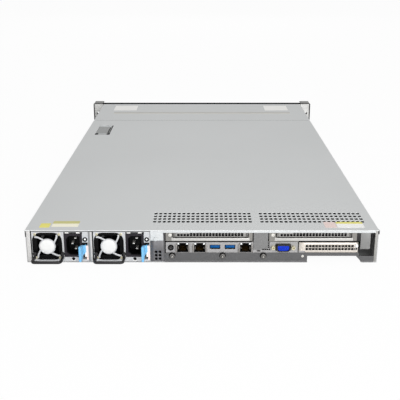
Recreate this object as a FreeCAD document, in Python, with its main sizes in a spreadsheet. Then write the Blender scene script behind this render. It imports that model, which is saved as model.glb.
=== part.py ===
import FreeCAD, Part
import math
import os
import re

import Sketcher
from FreeCAD import Rotation, Vector

# One-unit rack server, seen as its maker builds it: a folded sheet-metal tray with a fixed front
# roof and a sliding cover, drives at the front, fans, main board, risers and two plug-in supplies.
# Frame: origin at the centre of the underside, +Z up, front towards -Y, rear wall towards +Y.

doc = FreeCAD.newDocument("rack_server")
sheet = doc.addObject("Spreadsheet::Sheet", "Sizes")

sizes = {
    # chassis
    "chassis_width": 435.0,
    "chassis_depth": 780.0,
    "chassis_height": 43.2,
    "sheet_gauge": 1.2,
    "cover_gauge": 1.0,
    "fit_gap": 0.3,
    # rear edge of the tray
    "near_post_width": 5.8,
    "far_post_width": 4.0,
    "column_width": 17.9,
    "column_hole_radius": 1.55,
    "column_hole_pitch": 4.6,
    "column_hole_height": 4.8,
    "lip_height": 12.7,
    "lip_length": 176.9,
    "lip_end_radius": 3.0,
    "notch_width": 60.3,
    "notch_depth": 32.0,
    "notch_strip": 3.9,
    "notch_bevel": 7.0,
    "corner_flange": 8.6,
    # sliding cover
    "cover_travel": 12.0,
    "front_roof_depth": 168.6,
    "cover_side_drop": 8.0,
    "cover_rear_drop": 3.2,
    "cover_tab_width": 15.9,
    "cover_tab_drop": 13.5,
    "cover_boss_shift": 1.5,
    "vent_width": 4.0,
    "vent_length": 7.5,
    "vent_pitch": 6.05,
    "vent_row_pitch": 10.0,
    "vent_from_rear": 30.0,
    "vent_rows": 4,
    "near_vent_start": 59.8,
    "near_vent_columns": 21,
    "far_vent_start": 76.2,
    "far_vent_columns": 22,
    # cover latch
    "pan_width": 26.0,
    "pan_length": 76.4,
    "pan_depth": 8.0,
    "pan_from_side": 18.5,
    "pan_from_seam": 44.4,
    "lever_thickness": 2.4,
    "lever_barrel_radius": 1.6,
    "lever_nose_length": 8.7,
    "lever_nose_inset": 5.2,
    "lever_slot_width": 3.0,
    "lever_slot_length": 44.0,
    "lever_slot_start": 19.0,
    # ears
    "ear_span": 482.6,
    "ear_gauge": 2.0,
    "ear_flange_length": 42.0,
    "ear_hole_spacing": 465.1,
    "ear_hole_radius": 3.4,
    "ear_hole_height": 22.0,
    "housing_depth": 25.0,
    "housing_width": 20.0,
    "housing_chamfer": 5.0,
    "screw_well_radius": 6.0,
    "power_button_radius": 4.0,
    "power_button_height": 34.5,
    "power_button_length": 6.0,
    "power_button_inset": 1.0,
    "button_stroke": 1.0,
    # drive bays
    "bay_count": 4,
    "bay_pitch": 107.0,
    "bay_height": 28.6,
    "cage_gauge": 1.0,
    "cage_depth": 148.0,
    "carrier_length": 146.0,
    "carrier_gap": 0.4,
    "bezel_depth": 11.0,
    "bezel_step": 5.0,
    "hinge_cheek": 6.0,
    "lamp_cheek": 12.0,
    "rail_thickness": 1.5,
    "rail_height": 14.0,
    "drive_lift": 1.0,
    "drive_height": 24.0,
    "drive_lever_height": 16.0,
    "drive_lever_thickness": 4.0,
    "drive_lever_plate": 3.2,
    "lever_window_width": 20.0,
    "lever_window_height": 8.0,
    "lever_window_inset": 4.0,
    "front_slot_width": 25.0,
    "front_slot_pitch": 30.0,
    "front_slot_height": 5.0,
    "front_slot_count": 14,
    "backplane_gap": 4.0,
    "backplane_drop": 2.0,
    "backplane_window_width": 64.0,
    "backplane_window_bottom": 16.0,
    "backplane_window_top": 32.0,
    "board_gauge": 1.6,
    # system fans
    "fan_count": 6,
    "fan_pitch": 66.0,
    "fan_side": 40.0,
    "fan_depth": 28.0,
    "fan_from_seam": 8.0,
    "fan_bore_radius": 18.7,
    "fan_hub_radius": 9.5,
    "fan_motor_side": 16.0,
    "fan_motor_depth": 3.0,
    "fan_bar": 2.0,
    "rotor_lead": 2.0,
    "blade_count": 5,
    "blade_thickness": 0.9,
    "blade_sweep": 11.0,
    "blade_margin": 1.5,
    "blade_bow": 2.2,
    "fan_tip_gap": 0.6,
    # main board
    "board_height": 7.2,
    "board_margin": 5.0,
    "board_front": -70.0,
    "board_bay_gap": 12.0,
    "board_column_gap": 2.0,
    "board_notch_gap": 8.0,
    "board_plate_gap": 1.0,
    "standoff_radius": 3.0,
    "standoff_inset": 8.0,
    "sink_width": 78.0,
    "sink_length": 108.0,
    "sink_from_board_front": 30.0,
    "sink_base": 6.0,
    "sink_fin": 0.9,
    "sink_fin_count": 12,
    "sink_offset": 100.0,
    "sink_height": 29.0,
    "module_length": 133.35,
    "module_height": 31.0,
    "module_thickness": 3.0,
    "module_pitch": 8.0,
    "module_clearance": 6.0,
    "module_lead": 12.0,
    "module_count": 6,
    "duct_wall": 1.5,
    "duct_gap": 1.0,
    "duct_lead": 22.0,
    # plug-in power supplies
    "psu_width": 71.0,
    "psu_height": 39.4,
    "psu_depth": 185.0,
    "psu_pitch": 76.2,
    "psu_wall": 0.8,
    "psu_fan_width": 38.4,
    "psu_fan_depth": 28.0,
    "psu_fan_bore": 17.9,
    "psu_hub_disc": 10.4,
    "psu_rotor_hub": 9.4,
    "guard_thickness": 1.6,
    "arm_width": 1.8,
    "arm_root": 9.4,
    "arm_end": 18.6,
    "arm_lead": 34.4,
    "arm_bow": 2.26,
    "inlet_start": 41.0,
    "inlet_width": 22.6,
    "inlet_height": 30.9,
    "inlet_bottom": 7.5,
    "inlet_body_depth": 24.0,
    "inlet_proud": 1.2,
    "inlet_rim": 3.1,
    "inlet_chamfer": 3.6,
    "inlet_cavity": 17.0,
    "pin_width": 4.0,
    "pin_thickness": 2.0,
    "pin_spacing": 14.0,
    "pin_shift": 2.0,
    "pin_recess": 3.0,
    "latch_start": 65.6,
    "latch_thickness": 2.5,
    "latch_reach": 20.0,
    "latch_bottom": 5.0,
    "latch_height": 19.0,
    "latch_root": 31.2,
    "latch_barrel": 1.5,
    "latch_arm_drop": 5.0,
    "latch_arm_cut": 4.0,
    "latch_step_start": 8.0,
    "latch_step_end": 3.0,
    "latch_pocket_width": 6.6,
    "latch_pocket_side": 2.0,
    "latch_pocket_below": 1.0,
    "latch_pocket_above": 2.0,
    "handle_reach": 20.0,
    "handle_bar": 4.0,
    "handle_bottom": 5.0,
    "handle_height": 4.8,
    "handle_foot_height": 7.0,
    "handle_foot_depth": 3.0,
    "handle_radius": 5.0,
    "handle_inner_radius": 2.0,
    "finger_hole_start": 51.9,
    "finger_hole_level": 4.8,
    "finger_hole_radius": 2.1,
    "lamp_start": 67.1,
    "lamp_level": 30.8,
    "lamp_radius": 2.2,
    "face_hole_depth": 6.0,
    "edge_card_inset": 16.0,
    "edge_card_reach": 8.0,
    "edge_card_level": 14.0,
    "power_board_height": 30.0,
    # input and output plate
    "plate_height": 14.2,
    "plate_overlap": 2.5,
    "jack_width": 14.4,
    "jack_height": 12.4,
    "jack_depth": 21.0,
    "jack_wall": 1.2,
    "jack_back": 3.6,
    "jack_key_width": 6.0,
    "jack_key_height": 2.6,
    "jack_near": 23.7,
    "jack_middle": 2.7,
    "jack_far": -54.1,
    "jack_bottom": 13.2,
    "usb_width": 13.2,
    "usb_height": 5.8,
    "usb_wall": 0.5,
    "usb_depth": 17.0,
    "usb_back": 4.0,
    "usb_tongue": 1.9,
    "usb_tongue_side": 1.0,
    "usb_tongue_gap": 0.4,
    "usb_near": -16.3,
    "usb_far": -34.9,
    "usb_level": 20.3,
    "video_centre": -100.7,
    "video_level": 20.1,
    "video_width": 18.0,
    "video_height": 9.0,
    "video_proud": 5.5,
    "video_taper": 1.4,
    "video_wall": 0.6,
    "video_insert_gap": 0.4,
    "video_insert_recess": 0.8,
    "video_base_depth": 12.0,
    "video_base_side": 3.0,
    "video_base_rise": 6.0,
    "video_screw_spacing": 25.0,
    "video_screw_radius": 2.6,
    "video_screw_length": 4.5,
    "button_centre": 38.4,
    "button_level": 19.7,
    "button_radius": 2.3,
    "button_collar": 2.95,
    "button_collar_proud": 0.4,
    "button_proud": 0.6,
    "button_tail": 3.0,
    # risers, slot covers and the adapter blank
    "shelf_height": 28.0,
    "riser_depth": 150.0,
    "riser_card_lead": 10.0,
    "riser_card_tail": 34.0,
    "riser_card_rise": 11.0,
    "slot_width": 90.5,
    "slot_bottom": 31.6,
    "slot_top": 41.0,
    "slot_overlap": 0.8,
    "near_slot_edge": 34.2,
    "far_slot_edge": -93.2,
    "near_riser_end": -62.5,
    "far_riser_start": -83.0,
    "far_riser_end": -191.0,
    "riser_ear_start": -195.8,
    "riser_ear_end": -207.9,
    "riser_ear_bottom": 18.1,
    "slot_hole": 2.5,
    "slot_hole_pitch": 3.93,
    "slot_hole_start": 5.2,
    "slot_hole_count": 21,
    "slot_upper_count": 17,
    "slot_hole_level": 35.9,
    "slot_row_pitch": 3.4,
    "divider_start": -63.9,
    "divider_width": 17.8,
    "divider_bottom": 17.1,
    "divider_wing_depth": 26.0,
    "divider_wing_lift": 2.0,
    "blank_start": -120.0,
    "blank_width": 73.0,
    "blank_bottom": 13.5,
    "blank_height": 13.4,
    "blank_step": 8.0,
    "blank_step_height": 2.0,
    "blank_side_overlap": 3.0,
    "blank_edge_overlap": 1.5,
    "blank_hole": 2.6,
    "blank_hole_pitch": 4.03,
    "blank_hole_count": 15,
    "blank_hole_start": -129.9,
    "blank_hole_level": 17.8,
    "blank_knob_radius": 2.2,
    "blank_knob_drop": 5.0,
    "blank_knob_reach": 2.5,
    # fasteners
    "screw_radius": 2.4,
    "screw_head": 1.6,
    "slot_screw_level": 36.7,
    "near_screw_inset": 6.8,
    "far_screw_inset": 4.5,
    "tab_screw_inset": 5.8,
    "tab_screw_level": 8.5,
    "knurled_radius": 3.3,
    "knurled_head": 4.0,
    "knurled_level": 8.6,
    "knurled_near": 36.8,
    "knurled_middle": -25.8,
    "knurled_far": -76.2,
}

for row, (alias, number) in enumerate(sizes.items(), start=1):
    sheet.set("A%d" % row, alias)
    sheet.set("B%d" % row, str(number))
    sheet.setAlias("B%d" % row, alias)
doc.recompute()

nodes = {}


# ---- tying objects to the sheet ----

def tied(expression):
    # the expression with every alias read from the sheet
    return re.sub(r"[a-z]\w*", lambda found: sheetName(found.group()), str(expression))


def sheetName(word):
    return "Sizes." + word if word in sizes else word


def amount(expression):
    # the expression's present number, in millimetres
    return float(sheet.evalExpression(tied(expression)))


def keep(label, thing):
    # hands a finished sub-part over under its own name
    thing.Label = label
    nodes[label] = thing
    return thing


# ---- primitives ----

def block(name, x, y, z):
    # a box between a low and a high place on each axis
    box = doc.addObject("Part::Box", name)
    for side, (low, high) in zip(("Length", "Width", "Height"), (x, y, z)):
        box.setExpression(side, tied(f"({high}) - ({low})"))
    for letter, span in zip("xyz", (x, y, z)):
        box.setExpression("Placement.Base." + letter, tied(span[0]))
    return box


rodTurns = {
    "x": Rotation(Vector(0, 1, 0), 90),
    "y": Rotation(Vector(1, 0, 0), -90),
    "z": Rotation(),
}


def rod(name, axis, start, length, radius):
    # a cylinder from its start point along one axis
    cylinder = doc.addObject("Part::Cylinder", name)
    cylinder.Placement.Rotation = rodTurns[axis]
    cylinder.setExpression("Radius", tied(radius))
    cylinder.setExpression("Height", tied(length))
    for letter, place in zip("xyz", start):
        cylinder.setExpression("Placement.Base." + letter, tied(place))
    return cylinder


def hexagon(name, axis, start, length, radius):
    # a six-sided post from its start point along one axis
    prism = doc.addObject("Part::Prism", name)
    prism.Polygon = 6
    prism.Placement.Rotation = rodTurns[axis]
    prism.setExpression("Circumradius", tied(radius))
    prism.setExpression("Height", tied(length))
    for letter, place in zip("xyz", start):
        prism.setExpression("Placement.Base." + letter, tied(place))
    return prism


def joined(name, pieces):
    fused = doc.addObject("Part::MultiFuse", name)
    fused.Shapes = pieces
    fused.Refine = True
    return fused


def lessened(name, base, tools):
    tool = tools[0] if len(tools) == 1 else joined(name + "_tools", tools)
    cut = doc.addObject("Part::Cut", name)
    cut.Base = base
    cut.Tool = tool
    return cut


def grouped(name, pieces):
    # separate identical pieces kept as one node
    group = doc.addObject("Part::Compound", name)
    group.Links = pieces
    return group


# ---- sketched features ----

def newBody(label):
    return keep(label, doc.addObject("PartDesign::Body", label))


def originPlane(body, role):
    return next(item for item in body.Origin.OriginFeatures if item.Role == role)


def hold(sketch, kind, edge, point, expression):
    # fixes one point of an edge by its distance from the sketch's origin
    rule = Sketcher.Constraint(kind, -1, 1, edge, point, amount(expression))
    index = sketch.addConstraint(rule)
    sketch.setExpression("Constraints[%d]" % index, tied(expression))


def drawLoop(sketch, corners):
    first = sketch.GeometryCount
    places = [Vector(amount(a), amount(b), 0) for a, b in corners]
    for place, following in zip(places, places[1:] + places[:1]):
        sketch.addGeometry(Part.LineSegment(place, following))
    for step, (a, b) in enumerate(corners):
        following = first + (step + 1) % len(corners)
        sketch.addConstraint(Sketcher.Constraint("Coincident", first + step, 2, following, 1))
        hold(sketch, "DistanceX", first + step, 1, a)
        hold(sketch, "DistanceY", first + step, 1, b)


def drawCircle(sketch, a, b, radius):
    centre = Vector(amount(a), amount(b), 0)
    edge = sketch.addGeometry(Part.Circle(centre, Vector(0, 0, 1), amount(radius)))
    hold(sketch, "DistanceX", edge, 3, a)
    hold(sketch, "DistanceY", edge, 3, b)
    index = sketch.addConstraint(Sketcher.Constraint("Radius", edge, amount(radius)))
    sketch.setExpression("Constraints[%d]" % index, tied(radius))


def sketched(body, name, plane, place, loops):
    # closed loops on a plane parallel to one of the body's own origin planes
    sketch = body.newObject("Sketcher::SketchObject", name)
    sketch.AttachmentSupport = [(originPlane(body, plane + "_Plane"), "")]
    sketch.MapMode = "FlatFace"
    sign = "-" if plane == "XZ" else ""
    sketch.setExpression("AttachmentOffset.Base.z", tied(f"{sign}({place})"))
    for loop in loops:
        if len(loop) == 3 and isinstance(loop[0], str):
            drawCircle(sketch, *loop)
        else:
            drawLoop(sketch, loop)
    return sketch


def featured(body, kind, name, plane, span, loops):
    # a Pad or Pocket that fills the span between two places on the plane's normal
    low, high = span
    growsUp = plane != "XZ"
    startsLow = growsUp == (kind == "Pad")
    sketch = sketched(body, name + "_sketch", plane, low if startsLow else high, loops)
    feature = body.newObject("PartDesign::" + kind, name)
    feature.Profile = sketch
    feature.setExpression("Length", tied(f"({high}) - ({low})"))
    body.Tip = feature
    doc.recompute()
    return feature


def pad(body, name, plane, span, loops):
    return featured(body, "Pad", name, plane, span, loops)


def pocket(body, name, plane, span, loops):
    return featured(body, "Pocket", name, plane, span, loops)


def rectangle(a, b):
    return [(a[0], b[0]), (a[1], b[0]), (a[1], b[1]), (a[0], b[1])]


def repeated(body, name, feature, axis, span, count, backwards):
    # copies of one feature, evenly spaced over a span of one axis
    pattern = body.newObject("PartDesign::LinearPattern", name)
    pattern.Originals = [feature]
    pattern.Direction = (originPlane(body, axis + "_Axis"), [""])
    pattern.Reversed = backwards
    pattern.setExpression("Length", tied(span))
    pattern.setExpression("Occurrences", tied(count))
    body.Tip = pattern
    doc.recompute()
    return pattern


def rounded(body, name, feature, radius, chosen):
    # a fillet on the edges that the chosen test picks
    edges = ["Edge%d" % number for number, edge in enumerate(feature.Shape.Edges, start=1)
             if chosen(edge)]
    fillet = body.newObject("PartDesign::Fillet", name)
    fillet.Base = (feature, edges)
    fillet.setExpression("Radius", tied(radius))
    body.Tip = fillet
    doc.recompute()
    return fillet


def along(edge, axis):
    # true for a straight edge that runs along the axis
    ends = [vertex.Point for vertex in edge.Vertexes]
    return len(ends) == 2 and abs((ends[1] - ends[0]).normalize().dot(axis)) > 0.999


# ---- shared places, written as expressions of the sheet ----

side = "(chassis_width / 2)"
rear = "(chassis_depth / 2)"
front = "(-chassis_depth / 2)"
floor = "sheet_gauge"
deck = "(chassis_height - cover_gauge)"
wallTop = f"({deck} - fit_gap)"
seam = f"({front} + front_roof_depth)"
wallInside = f"({side} - sheet_gauge)"
bayInner = f"({side} - near_post_width - psu_pitch - psu_width - 2 * fit_gap)"
plateEdge = f"({bayInner} - column_width)"
lipEnd = f"({plateEdge} - lip_length)"
notchEnd = f"({lipEnd} - notch_width)"
plateBack = f"({rear} - 2 * sheet_gauge)"
plateFace = f"({rear} - sheet_gauge)"
rearSheet = (plateFace, rear)

coverFront = f"({seam} + fit_gap)"
flangeFace = f"({rear} + fit_gap)"
coverBack = f"({flangeFace} + cover_gauge)"
tabInner = f"({bayInner} - fit_gap)"
tabOuter = f"({tabInner} - cover_tab_width)"
panHigh = f"({side} - pan_from_side)"
panLow = f"({panHigh} - pan_width)"
panFront = f"({seam} + pan_from_seam)"
panBack = f"({panFront} + pan_length)"
panFloor = "(chassis_height - pan_depth)"
leverAxisY = f"({panFront} + lever_barrel_radius + fit_gap)"
leverAxisZ = "(chassis_height - fit_gap - lever_barrel_radius)"

housingFace = f"({front} - housing_depth)"
powerX = "(ear_hole_spacing / 2 - power_button_inset)"

bayWidth = "(bay_pitch - cage_gauge)"
cageSide = "(bay_count * bay_pitch / 2)"
bayTop = f"({floor} + bay_height)"
cageBack = f"({front} + cage_depth)"
bezelFace = f"({front} - bezel_depth)"

fanFront = f"({seam} + fan_from_seam)"
fanBack = f"({fanFront} + fan_depth)"
fanLevel = f"({floor} + fan_side / 2)"

boardTop = f"({floor} + board_height)"
boardUnderside = f"({boardTop} - board_gauge)"
boardEdge = f"({wallInside} - board_margin)"
sinkFront = "(board_front + sink_from_board_front)"

psuFloor = "(sheet_gauge + fit_gap)"
psuTop = f"({psuFloor} + psu_height)"
psuFront = f"({rear} - psu_depth)"
psuLevel = f"({psuFloor} + psu_height / 2)"
cageTop = f"({psuTop} + fit_gap)"
latchRootY = f"({rear} - latch_root)"


# ---- chassis ----

def makeTray():
    # the floor pan, notched at the rear beneath the adapter blank
    body = newBody("chassis_tray")
    notchSide = f"{notchEnd} - notch_bevel"
    notchFront = f"{rear} - notch_depth"
    outline = [(f"-{side}", front), (side, front), (side, rear), (lipEnd, rear),
               (lipEnd, notchFront), (notchSide, notchFront), (notchSide, rear), (f"-{side}", rear)]
    pad(body, "tray_floor", "XY", ("0", floor), [outline])


def makeSideWalls():
    # one wall along each side of the pan
    walls = [block(name + "_wall", span, (front, rear), (floor, wallTop))
             for name, span in (("near", (wallInside, side)), ("far", (f"-{side}", f"-{wallInside}")))]
    keep("side_walls", grouped("side_walls", walls))


def makeRearPosts():
    # the three uprights of the rear wall, the widest with two columns of round holes
    upright = (floor, wallTop)
    near = block("near_post", (f"{side} - near_post_width", wallInside), rearSheet, upright)
    far = block("far_post", (f"-{wallInside}", f"-{side} + far_post_width"), rearSheet, upright)
    plate = block("column_plate", (plateEdge, f"{bayInner} - cage_gauge"), rearSheet, upright)
    holes = [rod(f"column_hole_{level}_{step}", "y",
                 (f"{plateEdge} + column_width / 2 + {step} * column_hole_pitch / 2", plateBack,
                  f"column_hole_height + {level} * column_hole_pitch"),
                 "4 * sheet_gauge", "column_hole_radius")
             for step in (-1, 1) for level in range(3)]
    column = lessened("column", plate, holes)
    keep("rear_posts", grouped("rear_posts", [near, far, column]))


def makeRearLip():
    # a low lip with a rounded end, its strip carried on over the notch to the corner flange
    body = newBody("rear_lip")
    stripBottom = "lip_height - notch_strip"
    cornerEnd = f"-{side} + far_post_width"
    stripEnd = f"{notchEnd} - notch_bevel / 2"
    outline = [(plateEdge, floor), (plateEdge, "lip_height"), (stripEnd, "lip_height"),
               (stripEnd, "corner_flange"), (cornerEnd, "corner_flange"), (cornerEnd, floor),
               (f"{notchEnd} - notch_bevel", floor), (notchEnd, stripBottom),
               (lipEnd, stripBottom), (lipEnd, floor)]
    sheetPad = pad(body, "lip_sheet", "XZ", rearSheet, [outline])
    rounded(body, "lip_end", sheetPad, "lip_end_radius",
            lambda edge: along(edge, Vector(0, 1, 0))
            and edge.CenterOfMass.distanceToPoint(
                Vector(amount(lipEnd), amount(f"({rear} + {plateFace}) / 2"), amount(floor))) < 0.01)


def makeStandoffs():
    # hexagonal posts that carry the main board
    standX = f"({boardEdge} - standoff_inset)"
    posts = []
    for x in (f"-{standX}", "0", standX):
        for y in ("board_front + standoff_inset", f"{rear} - psu_depth - 2 * board_bay_gap"):
            posts.append(hexagon("standoff_%d" % len(posts), "z", (x, y, floor),
                                 f"{boardUnderside} - {floor}", "standoff_radius"))
    keep("board_standoffs", grouped("board_standoffs", posts))


def makeFrontRoof():
    # the fixed roof over the drives, hooked inside the side walls
    body = newBody("front_roof")
    outer = f"({wallInside} - fit_gap)"
    inner = f"({outer} - cover_gauge)"
    drop = f"({deck} - cover_side_drop)"
    section = [(f"-{side}", deck), (f"-{side}", "chassis_height"), (side, "chassis_height"),
               (side, deck), (outer, deck), (outer, drop), (inner, drop), (inner, deck),
               (f"-{inner}", deck), (f"-{inner}", drop), (f"-{outer}", drop), (f"-{outer}", deck)]
    pad(body, "roof_section", "XZ", (front, f"{seam} - fit_gap"), [section])


def makeCover():
    # the sliding sheet, with its vents and the window of the latch pan
    body = newBody("top_cover")
    sheetSpan = (deck, "chassis_height")
    pad(body, "cover_plate", "XY", sheetSpan,
        [rectangle((f"-{side}", side), (coverFront, coverBack))])
    pocket(body, "cover_window", "XY", sheetSpan, [rectangle((panLow, panHigh), (panFront, panBack))])
    cutVents(body, "near_vents", "near_vent_start", "near_vent_columns", sheetSpan)
    cutVents(body, "far_vents", "-far_vent_start", "far_vent_columns", sheetSpan)


def cutVents(body, name, start, count, sheetSpan):
    # rows of slots, one column repeated across the cover
    slots = []
    for step in range(int(sizes["vent_rows"])):
        middle = f"({rear} - vent_from_rear - {step} * vent_row_pitch)"
        slots.append(rectangle((f"{start} - vent_width / 2", f"{start} + vent_width / 2"),
                               (f"{middle} - vent_length / 2", f"{middle} + vent_length / 2")))
    column = pocket(body, name + "_column", "XY", sheetSpan, slots)
    repeated(body, name, column, "X", f"({count} - 1) * vent_pitch", count, True)


def makeCoverFolds():
    # the cover's turned edges: two side hems, the rear flange and its screw tab
    hemOuter = f"({wallInside} - fit_gap)"
    hemInner = f"({hemOuter} - cover_gauge)"
    run = (coverFront, f"{plateFace} - cover_travel - 2 * fit_gap")
    hemDrop = (f"{deck} - cover_side_drop", deck)
    flangeRun = (flangeFace, coverBack)
    near = block("near_hem", (hemInner, hemOuter), run, hemDrop)
    far = block("far_hem", (f"-{hemOuter}", f"-{hemInner}"), run, hemDrop)
    flange = block("rear_flange", (f"-{side} + far_post_width", tabOuter), flangeRun,
                   ("chassis_height - cover_rear_drop", deck))
    plate = block("tab_plate", (tabOuter, tabInner), flangeRun, ("chassis_height - cover_tab_drop", deck))
    boss = rod("tab_boss", "y", (f"{tabInner} - cover_tab_width / 2 + cover_boss_shift", flangeFace,
                                 "chassis_height - cover_tab_drop + screw_radius"),
               "cover_gauge + screw_head", "screw_radius")
    keep("cover_folds", grouped("cover_folds", [near, far, flange, joined("tab", [plate, boss])]))


def makeLatchPan():
    # the shallow pan under the window, which the lever lies in
    body = newBody("latch_pan")
    pad(body, "pan_block", "XY", (f"{panFloor} - cover_gauge", deck),
        [rectangle((f"{panLow} - cover_gauge", f"{panHigh} + cover_gauge"),
                   (f"{panFront} - cover_gauge", f"{panBack} + cover_gauge"))])
    pocket(body, "pan_hollow", "XY", (panFloor, deck),
           [rectangle((panLow, panHigh), (panFront, panBack))])


def makeCoverLatch():
    # a flush lever with a barrel at its front end and a finger slot along one side
    body = newBody("cover_latch")
    low = f"({panLow} + fit_gap)"
    high = f"({panHigh} - fit_gap)"
    top = "(chassis_height - fit_gap)"
    plateRun = (f"{top} - lever_thickness", top)
    pad(body, "lever_barrel", "YZ", (low, high), [(leverAxisY, leverAxisZ, "lever_barrel_radius")])
    shoulder = f"{panBack} - lever_nose_length"
    nose = f"{panBack} - fit_gap"
    outline = [(low, leverAxisY), (high, leverAxisY), (high, shoulder),
               (f"{high} - lever_nose_inset", nose), (f"{low} + lever_nose_inset", nose), (low, shoulder)]
    pad(body, "lever_plate", "XY", plateRun, [outline])
    slotLow = f"({low} + 2 * cover_gauge)"
    slotFront = f"({leverAxisY} + lever_slot_start)"
    slot = rectangle((slotLow, f"{slotLow} + lever_slot_width"),
                     (slotFront, f"{slotFront} + lever_slot_length"))
    pocket(body, "lever_slot", "XY", plateRun, [slot])


# ---- rack ears ----

def makeEars():
    ears = [makeEar(name, sign) for name, sign in (("near", ""), ("far", "-"))]
    keep("rack_ears", grouped("rack_ears", ears))
    housings = [makeEarHousing(name, sign) for name, sign in (("near", ""), ("far", "-"))]
    keep("ear_housings", grouped("ear_housings", housings))
    start = (powerX, f"{housingFace} - button_stroke", "power_button_height")
    keep("power_button", rod("power_button", "y", start, "power_button_length", "power_button_radius"))


def mirroredSpan(sign, low, high):
    # the same span on either side of the middle plane
    return (low, high) if sign == "" else (f"-({high})", f"-({low})")


def makeEar(name, sign):
    # an angle bracket: face plate with the rack hole, flange screwed along the side wall
    body = doc.addObject("PartDesign::Body", name + "_ear")
    face = mirroredSpan(sign, side, "ear_span / 2")
    pad(body, name + "_ear_face", "XZ", (front, f"{front} + ear_gauge"),
        [rectangle(face, ("0", "chassis_height"))])
    flange = mirroredSpan(sign, side, f"{side} + ear_gauge")
    pad(body, name + "_ear_flange", "XZ", (front, f"{front} + ear_flange_length"),
        [rectangle(flange, ("ear_gauge", "chassis_height - ear_gauge"))])
    pocket(body, name + "_ear_hole", "XZ", (front, f"{front} + ear_gauge"),
           [(f"{sign}ear_hole_spacing / 2", "ear_hole_height", "ear_hole_radius")])
    return body


def makeEarHousing(name, sign):
    # the moulded grip in front of the ear, with a well that leads the rack screw in
    body = doc.addObject("PartDesign::Body", name + "_ear_housing")
    outer = "(ear_span / 2 - fit_gap)"
    inner = "(ear_span / 2 - housing_width)"
    shoulder = f"{housingFace} + housing_chamfer"
    outline = [(inner, front), (inner, shoulder), (f"{inner} + housing_chamfer", housingFace),
               (f"{outer} - housing_chamfer", housingFace), (outer, shoulder), (outer, front)]
    outline = [(f"{sign}({a})", b) for a, b in outline]
    pad(body, name + "_housing_block", "XY", ("fit_gap", "chassis_height - fit_gap"), [outline])
    pocket(body, name + "_housing_well", "XZ", (housingFace, front),
           [(f"{sign}ear_hole_spacing / 2", "ear_hole_height", "screw_well_radius")])
    if sign == "":
        pocket(body, "housing_button_hole", "XZ",
               (housingFace, f"{housingFace} + power_button_length + fit_gap"),
               [(powerX, "power_button_height", "power_button_radius + fit_gap")])
    return body


# ---- drive bays ----

def makeDriveCage():
    # upright partitions under one shelf
    body = newBody("drive_cage")
    run = (front, cageBack)
    pad(body, "cage_shelf", "XZ", run,
        [rectangle((f"-{cageSide}", cageSide), (bayTop, f"{bayTop} + cage_gauge"))])
    partitions = []
    for step in range(int(sizes["bay_count"]) + 1):
        middle = f"(({step} - bay_count / 2) * bay_pitch)"
        partitions.append(rectangle((f"{middle} - cage_gauge / 2", f"{middle} + cage_gauge / 2"),
                                    (floor, bayTop)))
    pad(body, "cage_partitions", "XZ", run, partitions)


def makeFrontPanel():
    # the vented strip above the drive bays
    body = newBody("front_panel")
    sheetRun = (f"{front} - cage_gauge", front)
    pad(body, "panel_plate", "XZ", sheetRun,
        [rectangle((f"-{cageSide}", cageSide), (bayTop, "chassis_height"))])
    start = "(-(front_slot_count - 1) * front_slot_pitch / 2)"
    level = f"(({bayTop} + chassis_height) / 2)"
    slot = rectangle((f"{start} - front_slot_width / 2", f"{start} + front_slot_width / 2"),
                     (f"{level} - front_slot_height / 2", f"{level} + front_slot_height / 2"))
    column = pocket(body, "panel_slot", "XZ", sheetRun, [slot])
    repeated(body, "panel_vents", column, "X", "(front_slot_count - 1) * front_slot_pitch",
             "front_slot_count", False)


def makeDrive(number):
    # a hot-swap carrier: moulded bezel, two rails and the drive between them
    label = "drive_carrier_%d" % number
    body = newBody(label)
    middle = f"(({number} - 0.5 - bay_count / 2) * bay_pitch)"
    half = f"({bayWidth} / 2 - carrier_gap)"
    left = f"({middle} - {half})"
    right = f"({middle} + {half})"
    low = f"({floor} + fit_gap)"
    high = f"({bayTop} - fit_gap)"
    run = (front, f"{front} + carrier_length")
    pad(body, label + "_bezel", "XZ", (f"{bezelFace} + bezel_step", front),
        [rectangle((left, right), (low, high))])
    rails = [rectangle(span, (low, f"{low} + rail_height"))
             for span in ((left, f"{left} + rail_thickness"), (f"{right} - rail_thickness", right))]
    pad(body, label + "_rails", "XZ", run, rails)
    pad(body, label + "_drive", "XZ", run,
        [rectangle((f"{left} + rail_thickness", f"{right} - rail_thickness"),
                   (f"{low} + drive_lift", f"{low} + drive_lift + drive_height"))])
    cheeks = [rectangle(span, (low, high))
              for span in ((left, f"{left} + hinge_cheek"), (f"{right} - lamp_cheek", right))]
    pad(body, label + "_cheeks", "XZ", (bezelFace, f"{bezelFace} + bezel_step"), cheeks)
    makeDriveLever(number, f"({left} + hinge_cheek + fit_gap)", f"({right} - lamp_cheek - fit_gap)",
                   f"(({low} + {high}) / 2)")


def makeDriveLever(number, left, right, level):
    # the swing handle between the bezel's cheeks, on a pin at its left end
    label = "drive_lever_%d" % number
    body = newBody(label)
    pivotX = f"({left} + drive_lever_thickness / 2)"
    pivotY = f"({bezelFace} + drive_lever_thickness / 2)"
    span = (f"{level} - drive_lever_height / 2", f"{level} + drive_lever_height / 2")
    plateRun = (bezelFace, f"{bezelFace} + drive_lever_plate")
    pad(body, label + "_barrel", "XY", span, [(pivotX, pivotY, "drive_lever_thickness / 2")])
    pad(body, label + "_plate", "XY", span, [rectangle((pivotX, right), plateRun)])
    edge = f"({right} - lever_window_inset)"
    window = rectangle((f"{edge} - lever_window_width", edge),
                       (f"{level} - lever_window_height / 2", f"{level} + lever_window_height / 2"))
    pocket(body, label + "_window", "XZ", plateRun, [window])


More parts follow.
